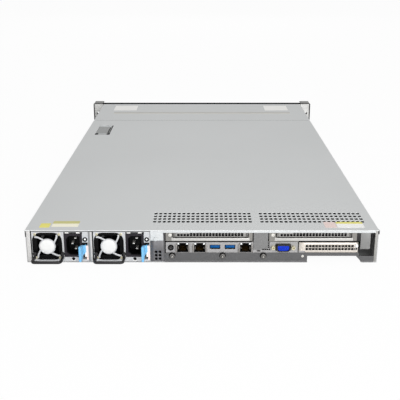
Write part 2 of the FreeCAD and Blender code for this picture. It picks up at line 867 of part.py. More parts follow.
def makeBackplane():
    # the board behind the drives, with an air window for each
    body = newBody("drive_backplane")
    start = f"({cageBack} + backplane_gap)"
    sheetRun = (start, f"{start} + board_gauge")
    pad(body, "backplane_board", "XZ", sheetRun,
        [rectangle((f"-{cageSide}", cageSide), (floor, f"{deck} - backplane_drop"))])
    windows = []
    for step in range(int(sizes["bay_count"])):
        middle = f"(({step} + 0.5 - bay_count / 2) * bay_pitch)"
        windows.append(rectangle((f"{middle} - backplane_window_width / 2",
                                  f"{middle} + backplane_window_width / 2"),
                                 (f"{floor} + backplane_window_bottom", f"{floor} + backplane_window_top")))
    pocket(body, "backplane_windows", "XZ", sheetRun, windows)


# ---- fans ----

def fanX(number):
    return f"(({number} - 0.5 - fan_count / 2) * fan_pitch)"


def makeFanFrames():
    # square frames with a round duct and a cross that carries the motor
    frames = []
    for number in range(1, int(sizes["fan_count"]) + 1):
        x = fanX(number)
        tag = "fan_%d_" % number
        across = (f"{x} - fan_side / 2", f"{x} + fan_side / 2")
        upright = (floor, f"{floor} + fan_side")
        crossRun = (f"{fanBack} - fan_bar", fanBack)
        outer = block(tag + "outer", across, (fanFront, fanBack), upright)
        bore = rod(tag + "bore", "y", (x, fanFront, fanLevel), "fan_depth", "fan_bore_radius")
        ring = lessened(tag + "ring", outer, [bore])
        bars = [block(tag + "bar_across", across, crossRun,
                      (f"{fanLevel} - fan_bar / 2", f"{fanLevel} + fan_bar / 2")),
                block(tag + "bar_up", (f"{x} - fan_bar / 2", f"{x} + fan_bar / 2"), crossRun, upright),
                block(tag + "motor", (f"{x} - fan_motor_side / 2", f"{x} + fan_motor_side / 2"),
                      (f"{fanBack} - fan_motor_depth", fanBack),
                      (f"{fanLevel} - fan_motor_side / 2", f"{fanLevel} + fan_motor_side / 2"))]
        frames.append(joined(tag + "frame", [ring] + bars))
    keep("fan_frames", grouped("fan_frames", frames))


def curve(start, end, bow):
    # an arc between two places, or a straight line where the bow is nothing
    middle = (start + end) / 2 + bow
    if bow.Length > 0:
        return Part.Arc(start, middle, end).toShape()
    return Part.LineSegment(start, end).toShape()


def strip(start, end, bow, step):
    # the flat sheet swept by one curve as it moves by a step
    edges = [curve(start, end, bow), Part.LineSegment(end, end + step).toShape(),
             curve(end + step, start + step, bow), Part.LineSegment(start + step, start).toShape()]
    return Part.makeFace(Part.Wire(edges), "Part::FaceMakerSimple")


def turned(shape, degrees):
    # a copy turned about the Y axis
    copy = shape.copy()
    copy.rotate(Vector(0, 0, 0), Vector(0, 1, 0), degrees)
    return copy


def makeRotor(label, centre, hub, tip, length, bow):
    # a closed hub, flat where each blade seats, with pitched blades that sweep just inside the duct
    hubRadius, tipRadius, depth, sweep, margin, thickness, bend = (
        amount(size) for size in (hub, tip, length, "blade_sweep", "blade_margin", "blade_thickness", bow))
    count = int(sizes["blade_count"])
    leading = Vector(-(sweep + thickness) / 2, margin, hubRadius / 2)
    trailing = Vector((sweep - thickness) / 2, depth - margin, hubRadius / 2)
    profile = strip(leading, trailing, Vector(bend, 0, 0), Vector(thickness, 0, 0))
    reach = math.sqrt(tipRadius ** 2 - ((sweep + thickness) / 2 + bend) ** 2)
    blade = profile.extrude(Vector(0, 0, reach - hubRadius / 2))
    corners = [turned(Part.Vertex(0, 0, hubRadius), 180.0 * (step + 0.5) / count).Point
               for step in range(2 * count)]
    shape = Part.Face(Part.makePolygon(corners + corners[:1])).extrude(Vector(0, depth, 0))
    for step in range(count):
        shape = shape.fuse(turned(blade, 360.0 * step / count))
    rotor = doc.addObject("Part::Feature", label)
    rotor.Shape = shape.removeSplitter()
    rotor.Placement.Base = Vector(*(amount(place) for place in centre))
    keep(label, rotor)


def makeFanRotors():
    for number in range(1, int(sizes["fan_count"]) + 1):
        makeRotor("fan_rotor_%d" % number, (fanX(number), f"{fanFront} + rotor_lead", fanLevel),
                  "fan_hub_radius", "fan_bore_radius - fan_tip_gap",
                  "fan_depth - rotor_lead - fan_motor_depth - fit_gap", "0")


# ---- main board ----

def makeMotherboard():
    # a board that narrows past the supply bay and stops short of the notch
    body = newBody("motherboard")
    bayFront = f"({psuFront} - board_bay_gap)"
    columnSide = f"({plateEdge} - board_column_gap)"
    plateSide = f"({plateBack} - board_plate_gap)"
    notchSide = f"({lipEnd} + board_notch_gap / 2)"
    notchFront = f"({rear} - notch_depth - board_notch_gap)"
    outline = [(f"-{boardEdge}", "board_front"), (boardEdge, "board_front"), (boardEdge, bayFront),
               (columnSide, bayFront), (columnSide, plateSide), (notchSide, plateSide),
               (notchSide, notchFront), (f"-{boardEdge}", notchFront)]
    pad(body, "board_sheet", "XY", (boardUnderside, boardTop), [outline])


def makeHeatSinks():
    # a base plate with upright fins, one over each processor
    run = (sinkFront, f"{sinkFront} + sink_length")
    sinks = []
    for name, centre in (("near", "sink_offset"), ("far", "-sink_offset")):
        start = f"({centre} - sink_width / 2)"
        pieces = [block(name + "_sink_base", (start, f"{start} + sink_width"), run,
                        (boardTop, f"{boardTop} + sink_base"))]
        for step in range(int(sizes["sink_fin_count"])):
            x = f"({start} + {step} * (sink_width - sink_fin) / (sink_fin_count - 1))"
            pieces.append(block("%s_fin_%d" % (name, step), (x, f"{x} + sink_fin"), run,
                                (f"{boardTop} + sink_base", f"{boardTop} + sink_height")))
        sinks.append(joined(name + "_sink", pieces))
    keep("heat_sinks", grouped("heat_sinks", sinks))


def makeMemory():
    # upright memory modules in banks on both sides of each heat sink
    start = f"({sinkFront} - module_lead)"
    modules = []
    for centre in ("sink_offset", "-sink_offset"):
        for direction in (-1, 1):
            for step in range(int(sizes["module_count"])):
                x = (f"({centre} + {direction} * (sink_width / 2 + module_clearance"
                     f" + {step} * module_pitch))")
                modules.append(block("module_%d" % len(modules),
                                     (f"{x} - module_thickness / 2", f"{x} + module_thickness / 2"),
                                     (start, f"{start} + module_length"),
                                     (boardTop, f"{boardTop} + module_height")))
    keep("memory_modules", grouped("memory_modules", modules))


def makeAirDuct():
    # two moulded tunnels over the heat sinks, tied together at the end that faces the fans
    body = newBody("air_duct")
    inner = "(sink_width / 2 + duct_gap)"
    outer = f"({inner} + duct_wall)"
    ceiling = f"({boardTop} + sink_height + duct_gap)"
    mouth = f"({sinkFront} - duct_lead)"
    tunnels = []
    for centre in ("sink_offset", "-sink_offset"):
        tunnels.append([(f"{centre} - {outer}", boardTop), (f"{centre} - {inner}", boardTop),
                        (f"{centre} - {inner}", ceiling), (f"{centre} + {inner}", ceiling),
                        (f"{centre} + {inner}", boardTop), (f"{centre} + {outer}", boardTop),
                        (f"{centre} + {outer}", f"{ceiling} + duct_wall"),
                        (f"{centre} - {outer}", f"{ceiling} + duct_wall")])
    pad(body, "duct_tie", "XY", (ceiling, f"{ceiling} + duct_wall"),
        [rectangle((f"{inner} - sink_offset", f"sink_offset - {inner}"),
                   (mouth, f"{sinkFront} - module_lead - duct_gap"))])
    pad(body, "duct_tunnels", "XZ", (mouth, f"{sinkFront} + sink_length"), tunnels)


# ---- power supplies ----

def psuLeft(number):
    return f"({side} - near_post_width - fit_gap - {number - 1} * psu_pitch)"


def makePsuCage():
    # a folded divider between the supplies and the wall at the inner end of their bay
    low = f"{psuLeft(2)} + fit_gap"
    high = f"{psuLeft(1)} - psu_width - fit_gap"
    inner = f"({psuLeft(2)} - psu_width - fit_gap)"
    mouth = f"({psuFront} - fit_gap)"
    divider = doc.addObject("PartDesign::Body", "supply_divider")
    section = [(low, mouth), (f"{low} + cage_gauge", mouth), (f"{low} + cage_gauge", plateFace),
               (f"{high} - cage_gauge", plateFace), (f"{high} - cage_gauge", mouth), (high, mouth),
               (high, rear), (low, rear)]
    pad(divider, "divider_section", "XY", (floor, cageTop), [section])
    wall = block("bay_wall", (f"{inner} - cage_gauge", inner), (mouth, plateFace), (floor, cageTop))
    keep("psu_cage", grouped("psu_cage", [divider, wall]))


def makePowerBoard():
    # the upright board that the supplies' edge cards come up to
    face = f"({psuFront} - edge_card_reach - fit_gap)"
    keep("power_board", block("power_board", (f"{psuLeft(2)} - psu_width", psuLeft(1)),
                              (f"{face} - board_gauge", face), (floor, f"{floor} + power_board_height")))


def makePsuBody(number):
    # the supply's case, open for its fan, inlet, latch and lamp, with an edge card ahead of it
    left = psuLeft(number)
    right = f"({left} - psu_width)"
    body = newBody("psu_body_%d" % number)
    tag = "psu_%d_" % number
    pad(body, tag + "case", "XZ", (psuFront, rear), [rectangle((right, left), (psuFloor, psuTop))])
    pocket(body, tag + "fan_bay", "XZ", (f"{rear} - psu_fan_depth", rear),
           [rectangle((f"{left} - psu_wall - psu_fan_width", f"{left} - psu_wall"),
                      (f"{psuFloor} + psu_wall", f"{psuTop} - psu_wall"))])
    pocket(body, tag + "inlet_bay", "XZ", (f"{rear} - inlet_body_depth", rear),
           [rectangle((f"{left} - inlet_start - inlet_width", f"{left} - inlet_start"),
                      ("inlet_bottom", "inlet_bottom + inlet_height"))])
    pocketSide = f"({left} - latch_start + latch_pocket_side)"
    pocket(body, tag + "latch_bay", "XZ", (f"{latchRootY} - latch_barrel - fit_gap", rear),
           [rectangle((f"{pocketSide} - latch_pocket_width", pocketSide),
                      ("latch_bottom - latch_pocket_below",
                       "latch_bottom + latch_height + latch_pocket_above"))])
    holes = [(f"{left} - finger_hole_start", "finger_hole_level", "finger_hole_radius"),
             (f"{left} - lamp_start", "lamp_level", "lamp_radius")]
    pocket(body, tag + "holes", "XZ", (f"{rear} - face_hole_depth", rear), holes)
    cardBottom = f"({psuFloor} + edge_card_level)"
    pad(body, tag + "edge_card", "XZ", (f"{psuFront} - edge_card_reach", psuFront),
        [rectangle((f"{right} + edge_card_inset", f"{left} - edge_card_inset"),
                   (cardBottom, f"{cardBottom} + board_gauge"))])


def makePsuFan(number):
    # the fan: a square duct whose rear guard has four curved arms round a blank disc, and its rotor
    left = psuLeft(number)
    tag = "psu_fan_%d_" % number
    x = f"({left} - psu_wall - psu_fan_width / 2)"
    fanStart = f"({rear} - psu_fan_depth)"
    guardStart = f"({rear} - guard_thickness)"
    outer = block(tag + "outer", (f"{left} - psu_wall - psu_fan_width", f"{left} - psu_wall"),
                  (fanStart, rear), (f"{psuFloor} + psu_wall", f"{psuTop} - psu_wall"))
    bore = rod(tag + "bore", "y", (x, fanStart, psuLevel), "psu_fan_depth", "psu_fan_bore")
    frame = lessened(tag + "ring", outer, [bore])
    disc = rod(tag + "disc", "y", (x, guardStart, psuLevel), "guard_thickness", "psu_hub_disc")
    arms = doc.addObject("Part::Feature", tag + "arms")
    arms.Shape = guardArms()
    arms.Placement.Base = Vector(amount(x), amount(guardStart), amount(psuLevel))
    keep("psu_fan_frame_%d" % number, joined("psu_fan_frame_%d" % number, [frame, disc, arms]))
    makeRotor("psu_rotor_%d" % number, (x, f"{fanStart} + rotor_lead", psuLevel), "psu_rotor_hub",
              "psu_fan_bore - fan_tip_gap", "psu_fan_depth - rotor_lead - guard_thickness - fit_gap",
              "blade_bow")


def guardArms():
    # four arms, each the sheet between two arcs that swing from the disc out to the frame
    lead = math.radians(amount("arm_lead"))
    root = Vector(amount("arm_root"), 0, 0)
    end = Vector(math.cos(lead), 0, math.sin(lead)) * amount("arm_end")
    chord = (end - root).normalize()
    across = Vector(chord.z, 0, -chord.x)
    width = across * amount("arm_width")
    flat = strip(root - width / 2, end - width / 2, across * amount("arm_bow"), width)
    arm = flat.extrude(Vector(0, amount("guard_thickness"), 0))
    arms = [turned(arm, 45.0 + 90.0 * step) for step in range(4)]
    return arms[0].multiFuse(arms[1:])


def makePsuInlet(number):
    # the moulded inlet: deep cavity with two cut corners and three blades
    body = newBody("psu_inlet_%d" % number)
    tag = "inlet_%d_" % number
    high = f"({psuLeft(number)} - inlet_start)"
    low = f"({high} - inlet_width)"
    bottom = "inlet_bottom"
    top = "(inlet_bottom + inlet_height)"
    face = f"({rear} + inlet_proud)"
    cavityEnd = f"({face} - inlet_cavity)"
    pad(body, tag + "block", "XZ", (f"{rear} - inlet_body_depth", face),
        [rectangle((low, high), (bottom, top))])
    cut = "inlet_rim + inlet_chamfer"
    cavity = [(f"{low} + inlet_rim", f"{bottom} + inlet_rim"), (f"{high} - ({cut})", f"{bottom} + inlet_rim"),
              (f"{high} - inlet_rim", f"{bottom} + {cut}"), (f"{high} - inlet_rim", f"{top} - ({cut})"),
              (f"{high} - ({cut})", f"{top} - inlet_rim"), (f"{low} + inlet_rim", f"{top} - inlet_rim")]
    pocket(body, tag + "cavity", "XZ", (cavityEnd, face), [cavity])
    middle = f"({low} + inlet_width / 2)"
    level = "(inlet_bottom + inlet_height / 2)"
    places = [(f"({middle} - pin_shift)", f"({level} - pin_spacing / 2)"),
              (f"({middle} - pin_shift)", f"({level} + pin_spacing / 2)"),
              (f"({middle} + pin_shift)", level)]
    blades = [rectangle((f"{x} - pin_width / 2", f"{x} + pin_width / 2"),
                        (f"{z} - pin_thickness / 2", f"{z} + pin_thickness / 2")) for x, z in places]
    pad(body, tag + "blades", "XZ", (cavityEnd, f"{face} - pin_recess"), blades)


def makePsuLatch(number):
    # a flat release tab on a long arm that turns on a post inside the case
    high = f"({psuLeft(number)} - latch_start)"
    body = newBody("psu_latch_%d" % number)
    tag = "latch_%d_" % number
    armLow = "latch_bottom + latch_arm_drop"
    armHigh = "latch_bottom + latch_height - latch_arm_cut"
    tabLow = "latch_bottom"
    tabHigh = "latch_bottom + latch_height"
    stepStart = f"{rear} - latch_step_start"
    stepEnd = f"{rear} - latch_step_end"
    tip = f"{rear} + latch_reach"
    outline = [(latchRootY, armLow), (stepStart, armLow), (stepEnd, tabLow), (tip, tabLow),
               (tip, tabHigh), (stepEnd, tabHigh), (stepStart, armHigh), (latchRootY, armHigh)]
    plate = pad(body, tag + "tab", "YZ", (f"{high} - latch_thickness", high), [outline])
    rounded(body, tag + "round", plate, "latch_thickness",
            lambda edge: along(edge, Vector(1, 0, 0)) and edge.CenterOfMass.y > amount(tip) - 0.01)
    pad(body, tag + "post", "XY", (armLow, armHigh),
        [(f"{high} - latch_thickness / 2", latchRootY, "latch_barrel")])


def makePsuHandle(number):
    # a flat bow in front of the fan, on two deeper feet
    left = psuLeft(number)
    body = newBody("psu_handle_%d" % number)
    tag = "handle_%d_" % number
    high = f"({left} - fit_gap)"
    low = f"({left} - psu_wall - psu_fan_width)"
    end = f"({rear} + handle_reach)"
    innerHigh = f"{high} - handle_bar"
    innerLow = f"{low} + handle_bar"
    innerEnd = f"{end} - handle_bar"
    outline = [(low, rear), (innerLow, rear), (innerLow, innerEnd), (innerHigh, innerEnd),
               (innerHigh, rear), (high, rear), (high, end), (low, end)]
    bow = pad(body, tag + "bow", "XY", ("handle_bottom", "handle_bottom + handle_height"), [outline])
    upright = Vector(0, 0, 1)
    outer = rounded(body, tag + "outer_corners", bow, "handle_radius",
                    lambda edge: along(edge, upright) and edge.CenterOfMass.y > amount(end) - 0.01)
    rounded(body, tag + "inner_corners", outer, "handle_inner_radius",
            lambda edge: along(edge, upright)
            and abs(edge.CenterOfMass.y - amount(innerEnd)) < 0.01)
    rise = ("handle_bottom", "handle_bottom + handle_foot_height")
    feet = [rectangle((low, innerLow), rise), rectangle((innerHigh, high), rise)]
    pad(body, tag + "feet", "XZ", (rear, f"{rear} + handle_foot_depth"), feet)


# ---- input and output plate ----

def makePlate():
    # the connector plate behind the lip, with a window for each connector
    body = newBody("io_plate")
    sheetRun = (plateBack, plateFace)
    pad(body, "plate_sheet", "XZ", sheetRun,
        [rectangle((notchEnd, f"{plateEdge} - fit_gap"),
                   ("lip_height - plate_overlap", "lip_height + plate_height"))])
    windows = [connectorWindow(x, "jack_width", "jack_bottom", "jack_height")
               for x in ("jack_near", "jack_middle", "jack_far")]
    windows += [connectorWindow(x, "usb_width", "usb_level - usb_height / 2", "usb_height")
                for x in ("usb_near", "usb_far")]
    windows.append(connectorWindow("video_centre", "video_width", "video_level - video_height / 2",
                                   "video_height"))
    windows.append(rectangle(("blank_start - blank_width + blank_side_overlap",
                              "blank_start - blank_side_overlap"),
                             ("blank_bottom + blank_edge_overlap",
                              "blank_bottom + blank_height - blank_edge_overlap")))
    opening = ("button_centre", "button_level", "button_radius + fit_gap")
    pocket(body, "plate_windows", "XZ", sheetRun, windows + [opening])
    pad(body, "plate_button_collar", "XZ", (plateFace, f"{rear} + button_collar_proud"),
        [("button_centre", "button_level", "button_collar"), opening])


def connectorWindow(x, width, bottom, height):
    return rectangle((f"{x} - {width} / 2", f"{x} + {width} / 2"), (bottom, f"{bottom} + {height}"))


def makeJacks():
    # network sockets: a shell down to the board with a keyed opening
    jacks = []
    for name, x in (("near", "jack_near"), ("middle", "jack_middle"), ("far", "jack_far")):
        body = doc.addObject("PartDesign::Body", name + "_jack")
        back = f"({plateFace} - jack_depth)"
        across = (f"{x} - jack_width / 2", f"{x} + jack_width / 2")
        pad(body, name + "_jack_shell", "XZ", (back, plateFace),
            [rectangle(across, ("jack_bottom", "jack_bottom + jack_height"))])
        pad(body, name + "_jack_base", "XZ", (back, f"{plateBack} - fit_gap"),
            [rectangle(across, (boardTop, "jack_bottom"))])
        inner = "(jack_width / 2 - jack_wall)"
        keySide = "(jack_key_width / 2)"
        low = "(jack_bottom + jack_wall)"
        top = "(jack_bottom + jack_height - jack_wall)"
        shoulder = f"({top} - jack_key_height)"
        opening = [(f"{x} - {inner}", low), (f"{x} + {inner}", low), (f"{x} + {inner}", shoulder),
                   (f"{x} + {keySide}", shoulder), (f"{x} + {keySide}", top),
                   (f"{x} - {keySide}", top), (f"{x} - {keySide}", shoulder),
                   (f"{x} - {inner}", shoulder)]
        pocket(body, name + "_jack_opening", "XZ", (f"{back} + jack_back", plateFace), [opening])
        jacks.append(body)
    keep("network_jacks", grouped("network_jacks", jacks))


def makeUsbPorts():
    # serial bus sockets: a thin shell around a tongue, on a foot down to the board
    ports = []
    for name, x in (("near", "usb_near"), ("far", "usb_far")):
        body = doc.addObject("PartDesign::Body", name + "_usb")
        back = f"({plateFace} - usb_depth)"
        hollowBack = f"({back} + usb_back)"
        low = "(usb_level - usb_height / 2)"
        high = "(usb_level + usb_height / 2)"
        left = f"({x} - usb_width / 2)"
        right = f"({x} + usb_width / 2)"
        tongueTop = f"({high} - usb_wall - usb_tongue_gap)"
        pad(body, name + "_usb_shell", "XZ", (back, plateFace), [rectangle((left, right), (low, high))])
        pocket(body, name + "_usb_mouth", "XZ", (hollowBack, plateFace),
               [rectangle((f"{left} + usb_wall", f"{right} - usb_wall"),
                          (f"{low} + usb_wall", f"{high} - usb_wall"))])
        pad(body, name + "_usb_tongue", "XZ", (hollowBack, f"{plateFace} - usb_tongue_side"),
            [rectangle((f"{left} + usb_tongue_side", f"{right} - usb_tongue_side"),
                       (f"{tongueTop} - usb_tongue", tongueTop))])
        pad(body, name + "_usb_foot", "XZ", (back, f"{plateBack} - fit_gap"),
            [rectangle((left, right), (boardTop, low))])
        ports.append(body)
    keep("usb_ports", grouped("usb_ports", ports))


def videoOutline(inset):
    # the connector's tapered outline, drawn in by an inset
    half = f"(video_width / 2 - fit_gap - ({inset}))"
    rise = f"(video_height / 2 - fit_gap - ({inset}))"
    return [(f"video_centre - {half} + video_taper", f"video_level - {rise}"),
            (f"video_centre + {half} - video_taper", f"video_level - {rise}"),
            (f"video_centre + {half}", f"video_level + {rise}"),
            (f"video_centre - {half}", f"video_level + {rise}")]


def makeVideoConnector():
    # a tapered metal shell round a moulded insert, between two hexagonal posts
    body = doc.addObject("PartDesign::Body", "video_socket")
    face = f"({plateFace} + video_proud)"
    reach = "video_screw_spacing / 2 + video_base_side"
    pad(body, "video_base", "XZ", (f"{plateBack} - video_base_depth", plateBack),
        [rectangle((f"video_centre - ({reach})", f"video_centre + {reach}"),
                   (boardTop, "video_level + video_base_rise"))])
    pad(body, "video_shell", "XZ", (plateBack, face), [videoOutline("0")])
    pocket(body, "video_mouth", "XZ", (plateFace, face), [videoOutline("video_wall")])
    pad(body, "video_insert", "XZ", (plateFace, f"{face} - video_insert_recess"),
        [videoOutline("video_wall + video_insert_gap")])
    posts = []
    for name, direction in (("near", 1), ("far", -1)):
        start = (f"video_centre + {direction} * video_screw_spacing / 2", plateFace, "video_level")
        posts.append(hexagon(name + "_video_post", "y", start, "video_screw_length",
                             "video_screw_radius"))
    keep("video_connector", grouped("video_connector", [body] + posts))


def makeFindButton():
    start = ("button_centre", f"{plateBack} - button_tail", "button_level")
    keep("find_button", rod("find_button", "y", start,
                            "2 * sheet_gauge + button_tail + button_proud", "button_radius"))


# ---- risers and rear covers ----

def makeRiserFrame(name, high, low, slotEdge):
    # a folded frame: rear sheet with the slot window, and a shelf over the connectors
    body = doc.addObject("PartDesign::Body", name + "_riser")
    pad(body, name + "_riser_sheet", "XZ", rearSheet, [rectangle((low, high), ("shelf_height", wallTop))])
    pad(body, name + "_riser_shelf", "XY", ("shelf_height", "shelf_height + cover_gauge"),
        [rectangle((f"{low} + cover_gauge + board_gauge", high), (f"{rear} - riser_depth", plateFace))])
    pocket(body, name + "_riser_window", "XZ", rearSheet,
           [rectangle((f"{slotEdge} - slot_width + slot_overlap", slotEdge), ("slot_bottom", "slot_top"))])
    return body


def makeRisers():
    near = makeRiserFrame("near", f"{plateEdge} - fit_gap", "near_riser_end", "near_slot_edge")
    far = makeRiserFrame("far", "far_riser_start", "far_riser_end", "far_slot_edge")
    pad(far, "riser_bridge", "XZ", rearSheet,
        [rectangle(("riser_ear_start", "far_riser_end"), ("slot_bottom", "slot_top"))])
    pad(far, "riser_ear", "XZ", rearSheet,
        [rectangle(("riser_ear_end", "riser_ear_start"), ("riser_ear_bottom", "slot_top"))])
    keep("riser_frames", grouped("riser_frames", [near, far]))
    covers = [makeSlotCover(name, name + "_slot_edge") for name in ("near", "far")]
    keep("slot_covers", grouped("slot_covers", covers))
    cards = [block(name + "_card", (f"{place} + cover_gauge", f"{place} + cover_gauge + board_gauge"),
                   (f"{rear} - riser_depth + riser_card_lead", f"{rear} - riser_card_tail"),
                   (boardTop, "shelf_height + riser_card_rise"))
             for name, place in (("near", "near_riser_end"), ("far", "far_riser_end"))]
    keep("riser_cards", grouped("riser_cards", cards))


def makeSlotCover(name, edge):
    # a vented blank behind the slot window, its upper row of holes the shorter
    body = doc.addObject("PartDesign::Body", name + "_slot_cover")
    sheetRun = (f"{plateFace} - cover_gauge", plateFace)
    pad(body, name + "_blank_plate", "XZ", sheetRun,
        [rectangle((f"{edge} - slot_width", f"{edge} + slot_overlap"),
                   ("slot_bottom - slot_overlap", "slot_top + slot_overlap"))])
    last = f"({edge} - slot_hole_start - (slot_hole_count - 1) * slot_hole_pitch)"
    for row, level, count in (("lower", "slot_hole_level", "slot_hole_count"),
                              ("upper", "(slot_hole_level + slot_row_pitch)", "slot_upper_count")):
        hole = rectangle((f"{last} - slot_hole / 2", f"{last} + slot_hole / 2"),
                         (f"{level} - slot_hole / 2", f"{level} + slot_hole / 2"))
        cut = pocket(body, f"{name}_{row}_hole", "XZ", sheetRun, [hole])
        repeated(body, f"{name}_{row}_row", cut, "X", f"({count} - 1) * slot_hole_pitch", count, False)
    return body


def makeDivider():
    # the upright sheet between the two risers, with its sides turned forward
    body = newBody("riser_divider")
    low = "(divider_start - divider_width)"
    pad(body, "divider_face", "XZ", rearSheet,
        [rectangle((low, "divider_start"), ("divider_bottom", wallTop))])
    rise = ("shelf_height + divider_wing_lift", wallTop)
    wings = [rectangle((low, f"{low} + cover_gauge"), rise),
             rectangle(("divider_start - cover_gauge", "divider_start"), rise)]
    pad(body, "divider_wings", "XZ", (f"{rear} - divider_wing_depth", plateFace), wings)


def makeBlank():
    # the vented blank over the adapter opening, stepped over the lip's end, with a pull knob
    body = newBody("adapter_blank")
    low = "(blank_start - blank_width)"
    top = "(blank_bottom + blank_height)"
    step = "blank_start - blank_step"
    ledge = "blank_bottom + blank_step_height"
    outline = [(low, "blank_bottom"), (step, "blank_bottom"), (step, ledge), ("blank_start", ledge),
               ("blank_start", top), (low, top)]
    pad(body, "blank_plate", "XZ", rearSheet, [outline])
    holes = [rectangle(("blank_hole_start - blank_hole / 2", "blank_hole_start + blank_hole / 2"),
                       (f"blank_hole_level + {row} * blank_hole_pitch - blank_hole / 2",
                        f"blank_hole_level + {row} * blank_hole_pitch + blank_hole / 2"))
             for row in (0, 1)]
    column = pocket(body, "blank_holes", "XZ", rearSheet, holes)
    repeated(body, "blank_rows", column, "X", "(blank_hole_count - 1) * blank_hole_pitch",
             "blank_hole_count", True)
    pad(body, "blank_knob", "XZ", (rear, f"{rear} + blank_knob_reach"),
        [(f"{low} + blank_knob_radius", f"{top} - blank_knob_drop", "blank_knob_radius")])


# ---- fasteners ----

def makeScrews():
    # three small screws, and three knurled ones that hold the lip
    small = [(f"{plateEdge} - near_screw_inset", "slot_screw_level"),
             ("far_riser_start - far_screw_inset", "slot_screw_level"),
             (f"{lipEnd} + tab_screw_inset", "tab_screw_level")]
    heads = [rod("small_screw_%d" % number, "y", (x, rear, z), "screw_head", "screw_radius")
             for number, (x, z) in enumerate(small, start=1)]
    heads += [rod(place + "_screw", "y", (place, rear, "knurled_level"), "knurled_head", "knurled_radius")
              for place in ("knurled_near", "knurled_middle", "knurled_far")]
    keep("rear_screws", grouped("rear_screws", heads))


def makeAll():
    makeTray()
    makeSideWalls()
    makeRearPosts()
    makeRearLip()
    makeStandoffs()
    makeFrontRoof()
    makeCover()
    makeCoverFolds()
    makeLatchPan()
    makeCoverLatch()
    makeEars()
    makeDriveCage()
    makeFrontPanel()
    for number in range(1, int(sizes["bay_count"]) + 1):
        makeDrive(number)
    makeBackplane()
    makeFanFrames()
    makeFanRotors()
    makeMotherboard()
    makeHeatSinks()
    makeMemory()
    makeAirDuct()
    makePsuCage()
    makePowerBoard()
    for number in (1, 2):
        makePsuBody(number)
        makePsuFan(number)
        makePsuInlet(number)
        makePsuLatch(number)
        makePsuHandle(number)
    makePlate()
    makeJacks()
    makeUsbPorts()
    makeVideoConnector()
    makeFindButton()
    makeRisers()
    makeDivider()
    makeBlank()
    makeScrews()


def writeParts():
    doc.recompute()
    for thing in doc.Objects:
        if "Invalid" in thing.State or "Error" in thing.State:
            raise RuntimeError("%s did not build: %s" % (thing.Name, thing.State))
    os.makedirs("parts", exist_ok=True)
    for label, thing in nodes.items():
        shape = thing.Shape
        if shape.isNull() or not shape.isValid() or shape.Volume <= 0:
            raise RuntimeError("%s has no sound solid" % label)
        shape.exportStep("parts/%s.step" % label)


makeAll()
writeParts()
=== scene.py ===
import math

import bmesh
import bpy
import numpy as np
from mathutils import Matrix, Vector


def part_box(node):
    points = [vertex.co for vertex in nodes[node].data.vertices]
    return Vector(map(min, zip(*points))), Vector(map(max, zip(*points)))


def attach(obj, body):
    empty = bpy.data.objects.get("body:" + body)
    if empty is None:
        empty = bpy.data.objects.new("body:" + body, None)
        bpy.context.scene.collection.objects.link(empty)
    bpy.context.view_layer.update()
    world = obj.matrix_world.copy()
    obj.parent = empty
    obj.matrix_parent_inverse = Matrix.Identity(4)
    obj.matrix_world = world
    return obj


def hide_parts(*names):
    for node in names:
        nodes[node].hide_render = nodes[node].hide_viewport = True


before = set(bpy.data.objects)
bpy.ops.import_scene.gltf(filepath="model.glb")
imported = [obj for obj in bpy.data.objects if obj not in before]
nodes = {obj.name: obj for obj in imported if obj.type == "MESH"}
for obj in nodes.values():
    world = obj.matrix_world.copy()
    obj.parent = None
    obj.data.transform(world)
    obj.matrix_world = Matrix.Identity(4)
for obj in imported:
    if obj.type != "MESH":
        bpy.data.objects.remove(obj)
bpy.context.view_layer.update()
print("frame loaded:", len(nodes), "nodes")

mm = 0.001

cameraSetup = {
    "lens": 66.02,
    "sensor": 36.0,
    "nearest": 0.02,
    "place": (0.1 * mm, 1230.4 * mm, 369.2 * mm),
    "yaw": 0.147,
    "pitch": 18.86,
    "roll": -0.03,
}


def addObject(name, data):
    # a new object in the scene, at the origin
    made = bpy.data.objects.new(name, data)
    bpy.context.scene.collection.objects.link(made)
    return made


def makeCamera():
    # looks along the direction given by yaw and pitch, with its right side turned by the roll
    yaw, pitch, roll = (math.radians(cameraSetup[key]) for key in ("yaw", "pitch", "roll"))
    look = Vector((math.sin(yaw) * math.cos(pitch), -math.cos(yaw) * math.cos(pitch), -math.sin(pitch)))
    side = Vector((-math.cos(yaw), -math.sin(yaw), 0.0))
    rise = side.cross(look)
    right = side * math.cos(roll) + rise * math.sin(roll)
    up = rise * math.cos(roll) - side * math.sin(roll)
    camera = addObject("camera", bpy.data.cameras.new("camera"))
    camera.data.lens = cameraSetup["lens"]
    camera.data.sensor_width = cameraSetup["sensor"]
    camera.data.clip_start = cameraSetup["nearest"]
    rows = [(right[k], up[k], -look[k], cameraSetup["place"][k]) for k in range(3)]
    camera.matrix_world = Matrix(rows + [(0, 0, 0, 1)])
    bpy.context.scene.camera = camera


makeCamera()
bpy.context.scene.view_settings.view_transform = "Standard"


def linear(red, green, blue):
    # screen colour in 0 to 255 turned into the linear values that shaders take
    shares = [part / 255.0 for part in (red, green, blue)]
    return (*[share / 12.92 if share <= 0.04045 else ((share + 0.055) / 1.055) ** 2.4 for share in shares], 1.0)


def addNodes(tree, rows, **made):
    # a row names a node, its type, what its inputs take, and its settings; text such as "noise.Fac" stands
    # for an output of a node above it, and a row without a type links up a node that is already there
    for name, kind, inputs, *settings in rows:
        node = made[name] = tree.nodes.new("ShaderNode" + kind) if kind else made[name]
        for key, value in dict(*settings).items():
            setattr(node, key, value)
        for socket, value in inputs.items():
            if isinstance(value, str):
                source, output = value.split(".")
                output = int(output) if output.isdigit() else output
                tree.links.new(made[source].outputs[output], node.inputs[socket])
            else:
                node.inputs[socket].default_value = value


def emptyTree(holder):
    # the cleared node tree of a world or material
    holder.use_nodes = True
    holder.node_tree.nodes.clear()
    return holder.node_tree


